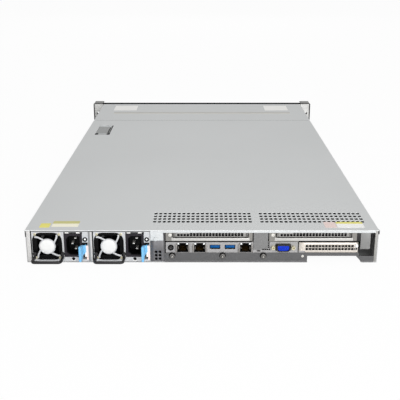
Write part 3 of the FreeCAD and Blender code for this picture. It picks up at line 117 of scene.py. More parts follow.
studio = {
    "floorSize": 12.0,
    "floorColour": linear(250, 250, 250),
    "floorGlow": 0.95,
    "worldColour": (1.0, 1.0, 1.0, 1.0),
    "worldLight": 0.45,
    "lamps": [
        # name, place, aim, size, energy
        ("rearSoft", (-0.6, 2.4, 0.8), (0.0, 0.3, 0.0), 1.6, 54.0),
        ("topSoft", (-0.2, 0.4, 2.6), (0.0, 0.1, 0.0), 2.4, 6.5),
        ("frontSoft", (0.0, -2.8, 1.3), (0.0, -0.2, 0.0), 1.8, 8.0),
    ],
}

# 1 where the camera sees a surface itself or through glass
seenRows = [
    ("path", "LightPath", {}),
    ("seen", "Math", {0: "path.Is Camera Ray", 1: "path.Is Transmission Ray"}, {"operation": "MAXIMUM"}),
]


def makeWorld():
    # one pale sky: full white where the camera or glass sees it, softer as a light
    world = bpy.data.worlds.new("studio")
    bpy.context.scene.world = world
    addNodes(emptyTree(world), seenRows + [
        ("strength", "MapRange", {"Value": "seen.0", "To Min": studio["worldLight"], "To Max": 1.0}),
        ("sky", "Background", {"Color": studio["worldColour"], "Strength": "strength.Result"}),
        ("out", "OutputWorld", {"Surface": "sky.0"}),
    ])


def makeFloor():
    # a flat pale floor that shows the shadow and glows just enough to meet the white around it
    half = studio["floorSize"] / 2
    mesh = bpy.data.meshes.new("floor")
    mesh.from_pydata([(-half, -half, 0), (half, -half, 0), (half, half, 0), (-half, half, 0)], [],
                     [(0, 1, 2, 3)])
    floor = addObject("floor", mesh)
    material = bpy.data.materials.new("floor")
    addNodes(emptyTree(material), [
        ("matt", "BsdfDiffuse", {"Color": studio["floorColour"]}),
        ("glow", "Emission", {}),
        *seenRows,
        ("share", "Math", {0: "seen.0", 1: studio["floorGlow"]}, {"operation": "MULTIPLY"}),
        ("both", "MixShader", {0: "share.0", 1: "matt.0", 2: "glow.0"}),
        ("out", "OutputMaterial", {"Surface": "both.0"}),
    ])
    mesh.materials.append(material)


def makeLamps():
    # square soft lamps, each turned so that it faces its aim
    for name, place, aim, size, energy in studio["lamps"]:
        lamp = addObject(name, bpy.data.lights.new(name, "AREA"))
        lamp.data.size = size
        lamp.data.energy = energy
        lamp.location = place
        lamp.rotation_euler = (Vector(aim) - Vector(place)).to_track_quat("-Z", "Y").to_euler()


makeWorld()
makeFloor()
makeLamps()
print("studio ready")


def newGroup(name, inputs, outputs, rows):
    # a node group with named sockets round the nodes of its rows
    group = bpy.data.node_groups.new(name, "ShaderNodeTree")
    for label, value in inputs.items():
        kind = "NodeSocketVector" if isinstance(value, tuple) else "NodeSocketFloat"
        group.interface.new_socket(name=label, in_out="INPUT", socket_type=kind).default_value = value
    for label, kind in outputs.items():
        group.interface.new_socket(name=label, in_out="OUTPUT", socket_type="NodeSocket" + kind)
    enter, leave = group.nodes.new("NodeGroupInput"), group.nodes.new("NodeGroupOutput")
    addNodes(group, rows, enter=enter, leave=leave)
    return group


# slow cloudy change of tone over a surface
driftGroup = newGroup("tone drift", {"Scale": 9.0, "Low": 0.94, "High": 1.05}, {"Tone": "Float"}, [
    ("place", "TexCoord", {}),
    ("noise", "TexNoise", {"Vector": "place.Object", "Scale": "enter.Scale", "Detail": 3.0}),
    ("span", "MapRange", {"Value": "noise.Fac", "From Min": 0.3, "From Max": 0.7,
                          "To Min": "enter.Low", "To Max": "enter.High"}),
    ("leave", None, {"Tone": "span.Result"}),
])

# fine grain of rolled or moulded stock, stretched by the scale of each axis
grainGroup = newGroup("surface grain", {"Stretch": (1.0, 1.0, 1.0), "Scale": 900.0, "Depth": 0.5},
                      {"Height": "Float", "Value": "Float"}, [
    ("place", "TexCoord", {}),
    ("stretch", "VectorMath", {0: "place.Object", 1: "enter.Stretch"}, {"operation": "MULTIPLY"}),
    ("noise", "TexNoise", {"Vector": "stretch.0", "Scale": "enter.Scale", "Detail": 2.0}),
    ("depth", "Math", {0: "noise.Fac", 1: "enter.Depth"}, {"operation": "MULTIPLY"}),
    ("leave", None, {"Height": "depth.0", "Value": "noise.Fac"}),
])

# rounded edge normal, and a mask that is 1 where an edge has rubbed bright or takes a painted highlight, as on the
# cover's folds
edgeGroup = newGroup("edge wear and highlight", {"Radius": 0.0004, "Wear": 1.0}, {"Normal": "Vector", "Mask": "Float"}, [
    ("bevel", "Bevel", {"Radius": "enter.Radius"}, {"samples": 4}),
    ("shape", "NewGeometry", {}),
    ("along", "VectorMath", {0: "bevel.0", 1: "shape.Normal"}, {"operation": "DOT_PRODUCT"}),
    ("off", "Math", {0: 1.0, 1: "along.Value"}, {"operation": "SUBTRACT", "use_clamp": True}),
    ("rubbed", "Math", {0: "off.0", 1: "enter.Wear"}, {"operation": "MULTIPLY", "use_clamp": True}),
    ("leave", None, {"Normal": "bevel.0", "Mask": "rubbed.0"}),
])

# painted shade: dark inside the case and 1 at its rear face, read from how far back the place is
depthGroup = newGroup("painted inner shade", {"Dark": 1.0}, {"Tone": "Float"}, [
    ("place", "TexCoord", {}),
    ("split", "SeparateXYZ", {0: "place.Object"}),
    ("span", "MapRange", {"Value": "split.Y", "From Min": 0.3850, "From Max": 0.3876, "To Min": "enter.Dark"}),
    ("leave", None, {"Tone": "span.Result"}),
])

# how the grain is drawn out: not at all, or along one axis
even, alongX, alongY, alongZ = (1, 1, 1), (0.1, 1, 1), (1, 0.1, 1), (1, 1, 0.1)

finishes = {
    # colour, edge colour (worn edge and painted highlight), roughness, metallic, grain, its scale, bump, drift, edge
    # radius in mm, wear
    # the cover's and the folds' bright edge colours paint the highlight along their bends
    "coverSteel": ((212, 214, 214), (246, 248, 249), 0.55, 0.12, (1, 0.06, 1), 1400, 0.03, (4, 0.985, 1.015), 0.8, 4.0),
    "traySteel": ((168, 168, 168), (205, 205, 205), 0.42, 0.35, alongY, 1300, 0.05, (12, 0.95, 1.05), 0.4, 1.5),
    "lipSteel": ((86, 86, 87), (112, 112, 113), 0.5, 0.3, alongX, 1300, 0.04, (14, 0.95, 1.05), 0.4, 1.5),
    "plateSteel": ((158, 157, 157), (188, 187, 187), 0.4, 0.25, alongX, 1500, 0.03, (20, 0.96, 1.04), 0.3, 1.5),
    "riserSteel": ((126, 124, 120), (160, 158, 154), 0.4, 0.25, alongX, 1500, 0.03, (20, 0.95, 1.05), 0.3, 1.5),
    # slot steel's colour is darkened as painted shade between the holes
    "slotSteelShaded": ((146, 145, 142), (172, 171, 168), 0.38, 0.3, alongX, 1500, 0.04, (24, 0.95, 1.05), 0.25, 1.2),
    "dividerSteel": ((118, 118, 118), (144, 144, 144), 0.45, 0.3, alongX, 1500, 0.03, (24, 0.96, 1.04), 0.3, 1.2),
    "blankSteel": ((206, 199, 190), (232, 228, 219), 0.4, 0.15, alongX, 1500, 0.03, (24, 0.96, 1.04), 0.3, 1.2),
    "supplySteel": ((196, 197, 199), (228, 229, 231), 0.34, 0.3, alongY, 1500, 0.03, (24, 0.94, 1.05), 0.3, 1.2),
    "frontSteel": ((58, 58, 60), (96, 96, 98), 0.5, 0.1, even, 900, 0.05, (20, 0.94, 1.06), 0.3, 1.0),
    "leverGrey": ((150, 152, 151), (178, 180, 179), 0.5, 0.0, even, 1200, 0.05, (30, 0.96, 1.04), 0.5, 0.6),
    "latchBand": ((196, 200, 201), (214, 217, 218), 0.5, 0.0, even, 1200, 0.05, (30, 0.96, 1.04), 0.4, 0.6),
    "hemSteel": ((98, 98, 99), (138, 138, 138), 0.42, 0.3, alongX, 1300, 0.04, (14, 0.95, 1.05), 0.3, 1.5),
    "cageSteel": ((140, 141, 142), (172, 172, 173), 0.4, 0.25, alongY, 1400, 0.04, (16, 0.94, 1.05), 0.3, 1.4),
    "bandSteel": ((186, 185, 182), (216, 215, 212), 0.4, 0.2, alongX, 1500, 0.03, (20, 0.96, 1.04), 0.3, 1.2),
    "browBlack": ((18, 18, 19), (34, 34, 35), 0.9, 0.0, even, 1100, 0.06, (30, 0.92, 1.08), 0.3, 0.4),
    "housingGrey": ((132, 132, 130), (158, 158, 156), 0.55, 0.0, even, 1200, 0.06, (30, 0.95, 1.05), 0.6, 0.6),
    "blackPlastic": ((9, 9, 10), (40, 40, 41), 0.42, 0.0, even, 1200, 0.05, (30, 0.9, 1.1), 0.4, 0.5),
    "handlePlastic": ((38, 37, 38), (80, 79, 79), 0.4, 0.0, even, 1200, 0.05, (30, 0.92, 1.08), 0.6, 0.8),
    "inletPlastic": ((36, 33, 38), (66, 62, 68), 0.45, 0.0, even, 1300, 0.04, (40, 0.94, 1.06), 0.4, 0.6),
    "releaseBlue": ((112, 178, 222), (156, 208, 240), 0.36, 0.0, even, 1200, 0.03, (40, 0.95, 1.05), 0.5, 0.6),
    "boardGreen": ((12, 46, 30), (60, 80, 50), 0.4, 0.0, even, 600, 0.04, (60, 0.85, 1.12), 0.2, 0.8),
    "finAluminium": ((186, 188, 190), (220, 222, 224), 0.55, 0.5, alongY, 1200, 0.03, (30, 0.94, 1.05), 0.2, 1.0),
    "socketMetal": ((176, 170, 164), (214, 208, 202), 0.32, 0.6, even, 1500, 0.03, (60, 0.92, 1.06), 0.2, 1.2),
    "screwSteel": ((150, 149, 147), (214, 212, 208), 0.3, 0.6, even, 1500, 0.03, (60, 0.9, 1.1), 0.3, 1.6),
    "labelWhite": ((250, 249, 246), (252, 251, 249), 0.5, 0.0, even, 900, 0.02, (30, 0.98, 1.02), 0.1, 0.5),
    "labelDim": ((188, 187, 181), (200, 199, 194), 0.45, 0.0, (0.2, 1, 1), 900, 0.02, (14, 0.94, 1.05), 0.1, 0.5),
    "labelIvory": ((252, 248, 224), (253, 250, 234), 0.5, 0.0, even, 900, 0.02, (30, 0.97, 1.02), 0.1, 0.5),
    "labelOlive": ((206, 201, 130), (226, 222, 172), 0.5, 0.0, even, 900, 0.02, (40, 0.96, 1.03), 0.1, 0.5),
    "labelSilver": ((219, 219, 218), (242, 241, 238), 0.5, 0.0, even, 900, 0.02, (30, 0.98, 1.02), 0.1, 0.5),
    "labelCream": ((208, 206, 200), (220, 218, 212), 0.45, 0.0, (0.2, 1, 1), 900, 0.02, (14, 0.97, 1.03), 0.1, 0.5),
    "labelYellow": ((237, 228, 114), (248, 240, 156), 0.5, 0.0, even, 900, 0.02, (40, 0.95, 1.04), 0.1, 0.5),
    "labelPink": ((236, 214, 208), (244, 230, 226), 0.5, 0.0, even, 900, 0.02, (30, 0.97, 1.03), 0.1, 0.5),
    "contactDim": ((96, 74, 40), (140, 112, 66), 0.3, 0.7, alongY, 1500, 0.02, (60, 0.95, 1.05), 0.1, 0.8),
    "frameSteel": ((132, 129, 126), (170, 167, 163), 0.4, 0.4, even, 1500, 0.03, (60, 0.92, 1.06), 0.2, 1.2),
    "portBlue": ((0, 76, 136), (14, 100, 164), 0.38, 0.0, even, 1300, 0.03, (60, 0.94, 1.06), 0.2, 0.6),
    "videoBlue": ((6, 50, 190), (40, 84, 206), 0.4, 0.0, even, 1300, 0.03, (60, 0.94, 1.06), 0.2, 0.6),
    "blackMetal": ((52, 50, 50), (128, 124, 120), 0.36, 0.5, even, 1500, 0.04, (60, 0.9, 1.1), 0.25, 1.4),
    "thumbSteel": ((104, 102, 100), (176, 174, 170), 0.34, 0.5, even, 1500, 0.04, (60, 0.9, 1.1), 0.25, 1.6),
    "zincYellow": ((200, 194, 168), (230, 226, 206), 0.35, 0.3, even, 1500, 0.03, (90, 0.9, 1.08), 0.2, 1.4),
    "bladeNickel": ((226, 224, 220), (246, 245, 242), 0.22, 0.7, alongY, 1500, 0.02, (60, 0.96, 1.04), 0.2, 1.0),
    "lensPale": ((238, 240, 240), (248, 249, 249), 0.25, 0.0, even, 900, 0.01, (60, 0.97, 1.02), 0.15, 0.4),
    "postSteel": ((196, 195, 194), (222, 221, 220), 0.4, 0.2, alongZ, 1500, 0.03, (20, 0.96, 1.03), 0.3, 1.2),
    "foldSteel": ((196, 199, 200), (236, 238, 239), 0.55, 0.12, alongX, 1400, 0.03, (8, 0.98, 1.02), 0.4, 3.0),
    "earSteel": ((214, 214, 212), (234, 234, 232), 0.42, 0.2, alongZ, 1400, 0.03, (20, 0.96, 1.03), 0.4, 1.4),
    "columnSteel": ((99, 98, 100), (124, 123, 125), 0.45, 0.25, alongZ, 1500, 0.03, (20, 0.96, 1.04), 0.3, 1.2),
    "blockSteel": ((126, 126, 125), (152, 152, 151), 0.42, 0.2, alongZ, 1500, 0.03, (24, 0.96, 1.04), 0.3, 1.2),
    # near black: painted shade on the recess wall beside the riser cheek
    "recessShadeSteel": ((32, 32, 32), (50, 50, 50), 0.45, 0.3, alongZ, 1500, 0.03, (24, 0.96, 1.04), 0.3, 1.4),
    "gasketBlack": ((10, 10, 11), (22, 22, 23), 0.9, 0.0, even, 2200, 0.12, (60, 0.85, 1.1), 0.15, 0.2),
    "rotorBlack": ((9, 9, 11), (50, 50, 54), 0.34, 0.0, even, 1100, 0.03, (40, 0.9, 1.1), 0.3, 0.6),
    "bezelBlack": ((44, 44, 46), (78, 78, 80), 0.46, 0.0, even, 1100, 0.06, (30, 0.92, 1.08), 0.4, 0.7),
}

finishLooks = {
    "roughSpan": 0.06,
    "bumpDistance": 0.0002,
    "innerPaintedShade": 0.05,
    "paintedShadeFinishes": ("plateSteel", "riserSteel", "slotSteelShaded", "dividerSteel", "blankSteel"),
    "shine": 0.5,
    "ownShine": {"coverSteel": 0.3, "frontSteel": 0.2, "browBlack": 0.02, "blackPlastic": 0.1,
                 "handlePlastic": 0.25, "inletPlastic": 0.2, "boardGreen": 0.2, "portBlue": 0.15,
                 "videoBlue": 0.2, "foldSteel": 0.3, "gasketBlack": 0.08, "rotorBlack": 0.15, "bezelBlack": 0.2},
}


def makeFinish(name, colour, edge, rough, metal, stretch, scale, bump, drift, radius, wear):
    # base colour drifts, some finishes darken inside the case as painted shade, and edges brighten with wear and a
    # painted highlight; grain drives a fine bump on the rounded edge normal
    material = bpy.data.materials.new(name)
    material.use_nodes = True
    tree = material.node_tree
    rows = [
        ("drift", "Group", {"Scale": float(drift[0]), "Low": drift[1], "High": drift[2]}, {"node_tree": driftGroup}),
        ("grain", "Group", {"Stretch": stretch, "Scale": float(scale), "Depth": 1.0}, {"node_tree": grainGroup}),
        ("edge", "Group", {"Radius": radius * mm, "Wear": wear}, {"node_tree": edgeGroup}),
    ]
    tone = "drift.Tone"
    # finishes seen through the rear openings darken inside the case: painted shade
    if name in finishLooks["paintedShadeFinishes"]:
        rows += [("depth", "Group", {"Dark": finishLooks["innerPaintedShade"]}, {"node_tree": depthGroup}),
                 ("shaded", "Math", {0: tone, 1: "depth.Tone"}, {"operation": "MULTIPLY"})]
        tone = "shaded.0"
    span = finishLooks["roughSpan"]
    rows += [
        ("toned", "VectorMath", {0: linear(*colour)[:3], "Scale": tone}, {"operation": "SCALE"}),
        ("worn", "Mix", {0: "edge.Mask", 6: "toned.0", 7: linear(*edge)}, {"data_type": "RGBA"}),
        ("rough", "MapRange", {"Value": "grain.Value", "To Min": rough - span, "To Max": rough + span}),
        ("bump", "Bump", {"Strength": bump, "Distance": finishLooks["bumpDistance"],
                          "Height": "grain.Height", "Normal": "edge.Normal"}),
        ("shader", None, {"Base Color": "worn.2", "Roughness": "rough.Result", "Metallic": metal,
                          "Specular IOR Level": finishLooks["ownShine"].get(name, finishLooks["shine"]),
                          "Normal": "bump.Normal"}),
    ]
    addNodes(tree, rows, shader=tree.nodes["Principled BSDF"])
    return material


materials = {name: makeFinish(name, *facts) for name, facts in finishes.items()}

dressing = {
    "coverSteel": ["front_roof", "top_cover", "latch_pan"],
    "foldSteel": ["cover_folds"],
    "earSteel": ["rack_ears"],
    "traySteel": ["chassis_tray", "side_walls", "rear_posts", "board_standoffs", "drive_cage"],
    "cageSteel": ["psu_cage"],
    "lipSteel": ["rear_lip"],
    "plateSteel": ["io_plate"],
    "riserSteel": ["riser_frames"],
    "slotSteelShaded": ["slot_covers"],
    "dividerSteel": ["riser_divider"],
    "blankSteel": ["adapter_blank"],
    "supplySteel": ["psu_body_1", "psu_body_2", "psu_fan_frame_1", "psu_fan_frame_2"],
    "frontSteel": ["front_panel"],
    "leverGrey": ["cover_latch", "power_button", "find_button"],
    "housingGrey": ["ear_housings"],
    "blackPlastic": ["network_jacks", "psu_rotor_1", "psu_rotor_2", "air_duct", "fan_frames",
                     *[f"fan_rotor_{number}" for number in range(1, 7)],
                     *[f"drive_carrier_{number}" for number in range(1, 5)],
                     *[f"drive_lever_{number}" for number in range(1, 5)]],
    "handlePlastic": ["psu_handle_1", "psu_handle_2"],
    "inletPlastic": ["psu_inlet_1", "psu_inlet_2"],
    "releaseBlue": ["psu_latch_1", "psu_latch_2"],
    "boardGreen": ["motherboard", "drive_backplane", "riser_cards", "memory_modules", "power_board"],
    "finAluminium": ["heat_sinks"],
    "socketMetal": ["usb_ports", "video_connector"],
    "screwSteel": ["rear_screws"],
}

# every CAD node takes its finish in its own material slots
for name, labels in dressing.items():
    for label in labels:
        for slot in nodes[label].material_slots:
            slot.material = materials[name]
print("nodes dressed")


def skin(loops, ring=False):
    # rows of points joined one to the next, each row closed; as a ring the last row meets the first
    rows, count = loops.shape[:2]
    index = np.arange(rows * count).reshape(rows, count)
    if ring:
        index = np.concatenate([index, index[:1]])
    following = np.roll(index, -1, axis=1)
    quads = np.stack([index[:-1], following[:-1], following[1:], index[1:]], axis=-1)
    faces = quads.reshape(-1, 4).tolist()
    if not ring:
        faces += [index[0, ::-1].tolist(), index[-1].tolist()]
    return loops.reshape(-1, 3), faces


def spread(flat, depth, axis):
    # flat points (a, b) put in space at a depth along the axis, a and b on the other two axes in order
    flat = np.asarray(flat, float)
    depth = np.broadcast_to(np.asarray(depth, float), flat.shape[:-1])
    return np.insert(flat, axis, depth, axis=-1)


def moved(shape, step):
    # the same surface with every point shifted by one step
    return shape[0] + np.asarray(step, float), shape[1]


def merged(shapes):
    # several surfaces as one set of points and faces
    points, faces, total = [], [], 0
    for shape in shapes:
        points.append(shape[0])
        faces += [[one + total for one in face] for face in shape[1]]
        total += len(shape[0])
    return np.concatenate(points), faces


def lofted(rows, centre=(0, 0, 0), axis=1, ring=False):
    # flat loops of equal count, each at its own distance along the axis, joined one to the next
    return moved(skin(np.array([spread(loop, level, axis) for loop, level in rows]), ring=ring), centre)


def roundedLoop(width, height, corner, steps=4):
    # four quarter arcs: each corner's centre plus the corner radius times cosine and sine
    swept = np.linspace(0, math.pi / 2, steps)
    arcs = []
    for turn, (signA, signB) in enumerate(((1, 1), (-1, 1), (-1, -1), (1, -1))):
        angle = swept + turn * math.pi / 2
        arcs.append(np.stack([signA * (width / 2 - corner) + corner * np.cos(angle),
                              signB * (height / 2 - corner) + corner * np.sin(angle)], axis=1))
    return np.concatenate(arcs)


def evenAngles(count):
    # angles of a whole turn in equal steps
    return np.arange(count) * 2 * math.pi / count


def rays(angle):
    # cosine and sine of each angle as a flat point one away from the centre
    return np.stack([np.cos(angle), np.sin(angle)], axis=1)


def circle(radius, count=32):
    # the radius times cosine and sine of evenly spaced angles
    return radius * rays(evenAngles(count))


def arcPoints(centre, radius, start, end, count=8):
    # points on a circle from one angle in degrees to another
    return centre + radius * rays(np.radians(np.linspace(start, end, count)))


def softBlock(low, high, corner, edge, axis=1, steps=3, arc=4):
    # a rounded rectangle carried along the axis, drawn in by a quarter circle towards each end
    low, high = np.array(low, float), np.array(high, float)
    flatAxes = [one for one in range(3) if one != axis]
    size = (high - low)[flatAxes]
    bend = np.linspace(0, math.pi / 2, steps)
    inset, rise = edge * (1 - np.sin(bend)), edge * (1 - np.cos(bend))
    insets = np.concatenate([inset, inset[::-1]])
    levels = np.concatenate([low[axis] + rise, (high[axis] - rise)[::-1]])
    middle = ((low + high) / 2)[flatAxes]
    return lofted([(roundedLoop(size[0] - 2 * cut, size[1] - 2 * cut, max(corner - cut, 0.05), arc) + middle,
                    level) for cut, level in zip(insets, levels)], axis=axis)


def blocks(rows, corner, edge, **more):
    # one soft block per row of lowest and highest corner
    return [softBlock(low, high, corner, edge, **more) for low, high in rows]


def turnedShape(profile, centre, axis=1, count=32, ring=False):
    # a profile of (radius, distance along the axis) carried round a circle
    profile = np.asarray(profile, float)
    flat = profile[:, None, :1] * circle(1.0, count)[None]
    depth = np.repeat(profile[:, 1:], count, axis=1)
    return moved(skin(spread(flat, depth, axis), ring=ring), centre)


def standing(profile, level):
    # a turned profile whose distances are measured from a level
    return [(radius, level + out) for radius, out in profile]


def sweep(section, path, upright):
    # a flat section carried along a path: its first axis lies across, its second on the upright
    path = np.asarray(path, float)
    run = np.gradient(path, axis=0)
    run /= np.linalg.norm(run, axis=1, keepdims=True)
    upright = np.broadcast_to(np.asarray(upright, float), path.shape)
    across = np.cross(run, upright)
    across /= np.linalg.norm(across, axis=1, keepdims=True)
    return skin(path[:, None] + across[:, None] * section[None, :, :1] + upright[:, None] * section[None, :, 1:])


def piercedSheet(across, up, openings, margin, sides=4, cutaways=()):
    # a flat grid whose block round each opening gives way to a ring of quads out to the rounded loop:
    # loop point = square point pulled in to the opening's inner box plus the corner radius outwards
    axes = []
    for span, centre, half in ((across, 0, 2), (up, 1, 3)):
        marks = [np.array(span, float)]
        for opening in openings:
            reach = opening[half] + margin
            marks.append(np.linspace(opening[centre] - reach, opening[centre] + reach, sides + 1))
        marks += [np.array(cut[2 * centre:2 * centre + 2], float) for cut in cutaways]
        axes.append(np.unique(np.round(np.concatenate(marks), 3)))

    def found(axis, ends):
        # the two grid lines at the ends of a span, within half a rounding step
        return np.searchsorted(axes[axis], np.round(ends, 3) - 0.0004)

    gridA, gridB = np.meshgrid(axes[0], axes[1], indexing="ij")
    index = np.arange(gridA.size).reshape(gridA.shape)
    flat = np.stack([gridA.ravel(), gridB.ravel()], axis=1)
    solid = np.ones((len(axes[0]) - 1, len(axes[1]) - 1), bool)
    points, quads, total = [flat], [], len(flat)
    for cut in cutaways:
        a0, a1 = found(0, cut[:2])
        b0, b1 = found(1, cut[2:])
        solid[a0:a1, b0:b1] = False
    for a, b, halfA, halfB, corner in openings:
        cell = np.array([halfA + margin, halfB + margin])
        a0, a1 = found(0, [a - cell[0], a + cell[0]])
        b0, b1 = found(1, [b - cell[1], b + cell[1]])
        solid[a0:a1, b0:b1] = False
        border = np.concatenate([index[a0:a1, b0], index[a1, b0:b1], index[a1:a0:-1, b1], index[a0, b1:b0:-1]])
        aim = (flat[border] - (a, b)) / cell * (halfA, halfB)
        limit = np.array([halfA - corner, halfB - corner])
        inner = np.clip(aim, -limit, limit)
        out = aim - inner
        points.append(inner + out / np.linalg.norm(out, axis=1, keepdims=True) * corner + (a, b))
        ids = total + np.arange(len(border))
        quads.append(np.stack([border, np.roll(border, -1), np.roll(ids, -1), ids], axis=1))
        total += len(border)
    quads.append(np.stack([index[:-1, :-1], index[1:, :-1], index[1:, 1:], index[:-1, 1:]], axis=-1)[solid])
    used, quads = np.unique(np.concatenate(quads), return_inverse=True)
    return np.concatenate(points)[used], quads.reshape(-1, 4)


def sheetShape(flat, depth, axis, face=1):
    # a flat sheet set in space, its faces towards the positive or the negative axis
    points, quads = flat
    turn = face * (-1 if axis == 1 else 1)
    return spread(points, depth, axis), quads[:, ::turn].tolist()


def screwHead(centre, radius, height, axis=1, count=24):
    # a domed head turned round its axis; the recess's radius swells with the cosine of four times the angle
    angle = evenAngles(count)
    rows = [(1.0, 0.0, 0.0), (1.0, 0.5, 0.0), (0.93, 0.8, 0.0), (0.7, 1.0, 0.0), (0.36, 1.0, 0.12),
            (0.30, 0.3, 0.12)]
    return lofted([((radius * (size + swell * np.cos(4 * angle)))[:, None] * rays(angle), height * rise)
                   for size, rise, swell in rows], centre, axis)


def rayLoop(planes, angles):
    # along each angle, the nearest of the straight sides given as (normal, distance)
    planes = np.asarray(planes, float)
    facing = rays(angles) @ planes[:, :2].T
    reach = np.where(facing > 1e-6, planes[:, 2] / np.maximum(facing, 1e-6), np.inf)
    return rays(angles) * reach.min(axis=1)[:, None]


def box(node):
    # a node's lowest and highest corners in millimetres
    low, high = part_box(node)
    return np.array(low) / mm, np.array(high) / mm


meshLooks = {
    "smoothBelow": 35.0,
    "bevelAbove": 40,
    "bevelSegments": 2,
}


def addPiece(name, shape, finish, slot, body="chassis", replaces=(), sheet=0.0, bevel=0.0):
    # puts a surface into the scene; closed surfaces get outward faces, open sheets their thickness
    if isinstance(shape, list):
        shape = merged(shape)
    mesh = bpy.data.meshes.new(name)
    mesh.from_pydata((shape[0] * mm).tolist(), [], shape[1])
    if not sheet:
        form = bmesh.new()
        form.from_mesh(mesh)
        bmesh.ops.recalc_face_normals(form, faces=form.faces)
        form.to_mesh(mesh)
        form.free()
    mesh.polygons.foreach_set("use_smooth", np.ones(len(mesh.polygons), bool))
    mesh.set_sharp_from_angle(angle=math.radians(meshLooks["smoothBelow"]))
    mesh.materials.append(materials[finish])
    piece = addObject(name, mesh)
    if sheet:
        wall = piece.modifiers.new("gauge", "SOLIDIFY")
        wall.thickness = sheet * mm
        wall.offset = -1.0
    if bevel:
        soften = piece.modifiers.new("edges", "BEVEL")
        soften.width = bevel * mm
        soften.segments = meshLooks["bevelSegments"]
        soften.limit_method = "ANGLE"
        soften.angle_limit = math.radians(meshLooks["bevelAbove"])
        soften.harden_normals = True
    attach(piece, body)
    if replaces:
        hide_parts(*replaces)


def unitPieces(family, number):
    # gives addPiece for one of several alike units
    def add(name, shape, finish, slot, node="", part="", **more):
        # the unit's number ends the name of the piece, of its body and of the node it replaces
        replaced = [f"{node}_{number}"] if node else ()
        addPiece(f"{name}_{number}", shape, finish, slot, f"{family}_{number}{part}", replaced, **more)
    return add


supplyLooks = {
    # lengths in millimetres, angles in degrees; places are measured from the supply's outer side
    "borderOpening": (37.0, 36.6),
    "borderCorner": 10.8,
    "guardDepth": 1.6,
    "ductGap": 2.5,
    "armWidth": 2.2,
    "armRoot": (9.6, 61.0),
    "armEnd": (19.4, 38.0),
    "armBow": 2.4,
    "discRadius": 10.3,
    "hubLabel": [(8.8, -0.2), (8.8, 0.06), (8.7, 0.12), (4.0, 0.12)],
    "ductRadius": 17.9,
    "hubRadius": 9.4,
    "tipRadius": 17.2,
    "bladeCount": 5,
    "bladeTurn": 52.0 / 3,
    "bladeChord": 62.0,
    "bladeThickness": 0.9,
    "screw": (1.75, 1.0),
    "cornerScrews": ((5.4, 37.4), (35.4, 37.4), (5.2, 6.2), (35.4, 6.2)),
    "inletRim": 3.1,
    "inletCut": 3.6,
    "inletDepth": 18.5,
    "bladeHalf": (1.5, 0.75),
    "bladeDepths": (17.2, 7.0),
    "bladePlaces": ((-2.0, -7.0), (-2.0, 7.0), (2.0, 0.0)),
    "handleBar": 3.2,
    "handleTurn": 3.5,
    "handleRise": 2.5,
    "tabInset": 2.7,
    "tabRows": [
        # reach, lean, foot above the node, top, thickness
        (386.5, 0.0, 9.0, 23.2, 2.2), (391.2, 0.3, 8.6, 23.4, 2.0), (393.4, 3.2, 5.0, 24.4, 2.4),
        (400.0, 3.3, 1.6, 26.6, 3.0), (406.0, 3.3, 2.4, 28.2, 3.2), (408.8, 3.3, 3.2, 28.6, 3.1),
        (409.8, 3.4, 4.4, 27.8, 2.2),
    ],
    "lampPlace": (67.1, 30.6),
    "lampRing": [(3.0, -0.3), (3.0, 0.25), (2.7, 0.5), (1.6, 0.5), (1.3, 0.2), (1.3, -0.3)],
    "lampLens": [(1.2, -0.3), (1.2, 0.1), (0.9, 0.3), (0.4, 0.4)],
    "fingerHole": (51.9, 4.8),
    "holePlug": [(2.1, -0.3), (2.1, 0.08), (1.9, 0.1), (0.8, -0.1)],
    "lipArc": (2.5, 200, 340, 9),
    "lipRadius": 0.4,
    "plates": {
        # on the rear face: from and to, bottom and top, how far sunk and proud, corner and edge
        "slot": (70.2, 64.2, 24.4, 26.6, 0.3, 0.12, 0.5, 0.1),
        "gap": (64.2, 40.9, 38.5, 40.3, 0.3, 0.1, 0.3, 0.1),
        "nearStrip": (47.3, 42.7, 38.8, 39.9, 0.1, 0.3, 0.3, 0.15),
        "farStrip": (61.2, 56.4, 38.8, 39.9, 0.1, 0.3, 0.3, 0.15),
        "sideStrip": (68.3, 66.4, 7.4, 22.6, 0.1, 0.12, 0.5, 0.06),
        "gasket": (1.2, -0.05, 1.7, 40.9, 0.4, 0.15, 0.2, 0.1),
        "label": (70.6, 68.4, 3.4, 22.6, 0.1, 0.12, 0.5, 0.06),
    },
}


def polar(radius, degrees):
    # a flat point at an angle: radius times cosine and sine
    angle = math.radians(degrees)
    return np.array([radius * math.cos(angle), radius * math.sin(angle)])


def bowed(start, end, lift, count=9):
    # a quadratic curve whose middle is lifted away from the centre of the fan
    along = np.linspace(0, 1, count)[:, None]
    middle = (start + end) / 2
    control = middle + middle / np.linalg.norm(middle) * 2 * lift
    return (1 - along) ** 2 * start + 2 * along * (1 - along) * control + along ** 2 * end


def guardShape(centre, half, back, face):
    # the border ring, the hub disc and four bars that swing from the disc to the corners
    looks = supplyLooks
    outer = roundedLoop(2 * half[0], 2 * half[1], 0.5, 6)
    inner = roundedLoop(*looks["borderOpening"], looks["borderCorner"], 6)
    disc = looks["discRadius"]
    shapes = [
        lofted([(outer, back), (outer * 0.995, face), (inner * 1.008, face), (inner, face - 0.3), (inner, back)],
               ring=True),
        turnedShape([(disc - 0.6, back), (disc, back + 0.4), (disc, face - 0.35), (disc - 0.35, face),
                     (disc - 1.2, face), (disc - 1.3, face - 0.12)], (0, 0, 0), count=40),
    ]
    section = roundedLoop(looks["armWidth"], face - back - 0.1, 0.4, 3)
    for turn in range(0, 360, 90):
        root, end = (polar(radius, angle + turn) for radius, angle in (looks["armRoot"], looks["armEnd"]))
        shapes.append(sweep(section, spread(bowed(root, end, looks["armBow"]), (back + face) / 2, 1), (0, 1, 0)))
    return moved(merged(shapes), (centre[0], 0, centre[1]))


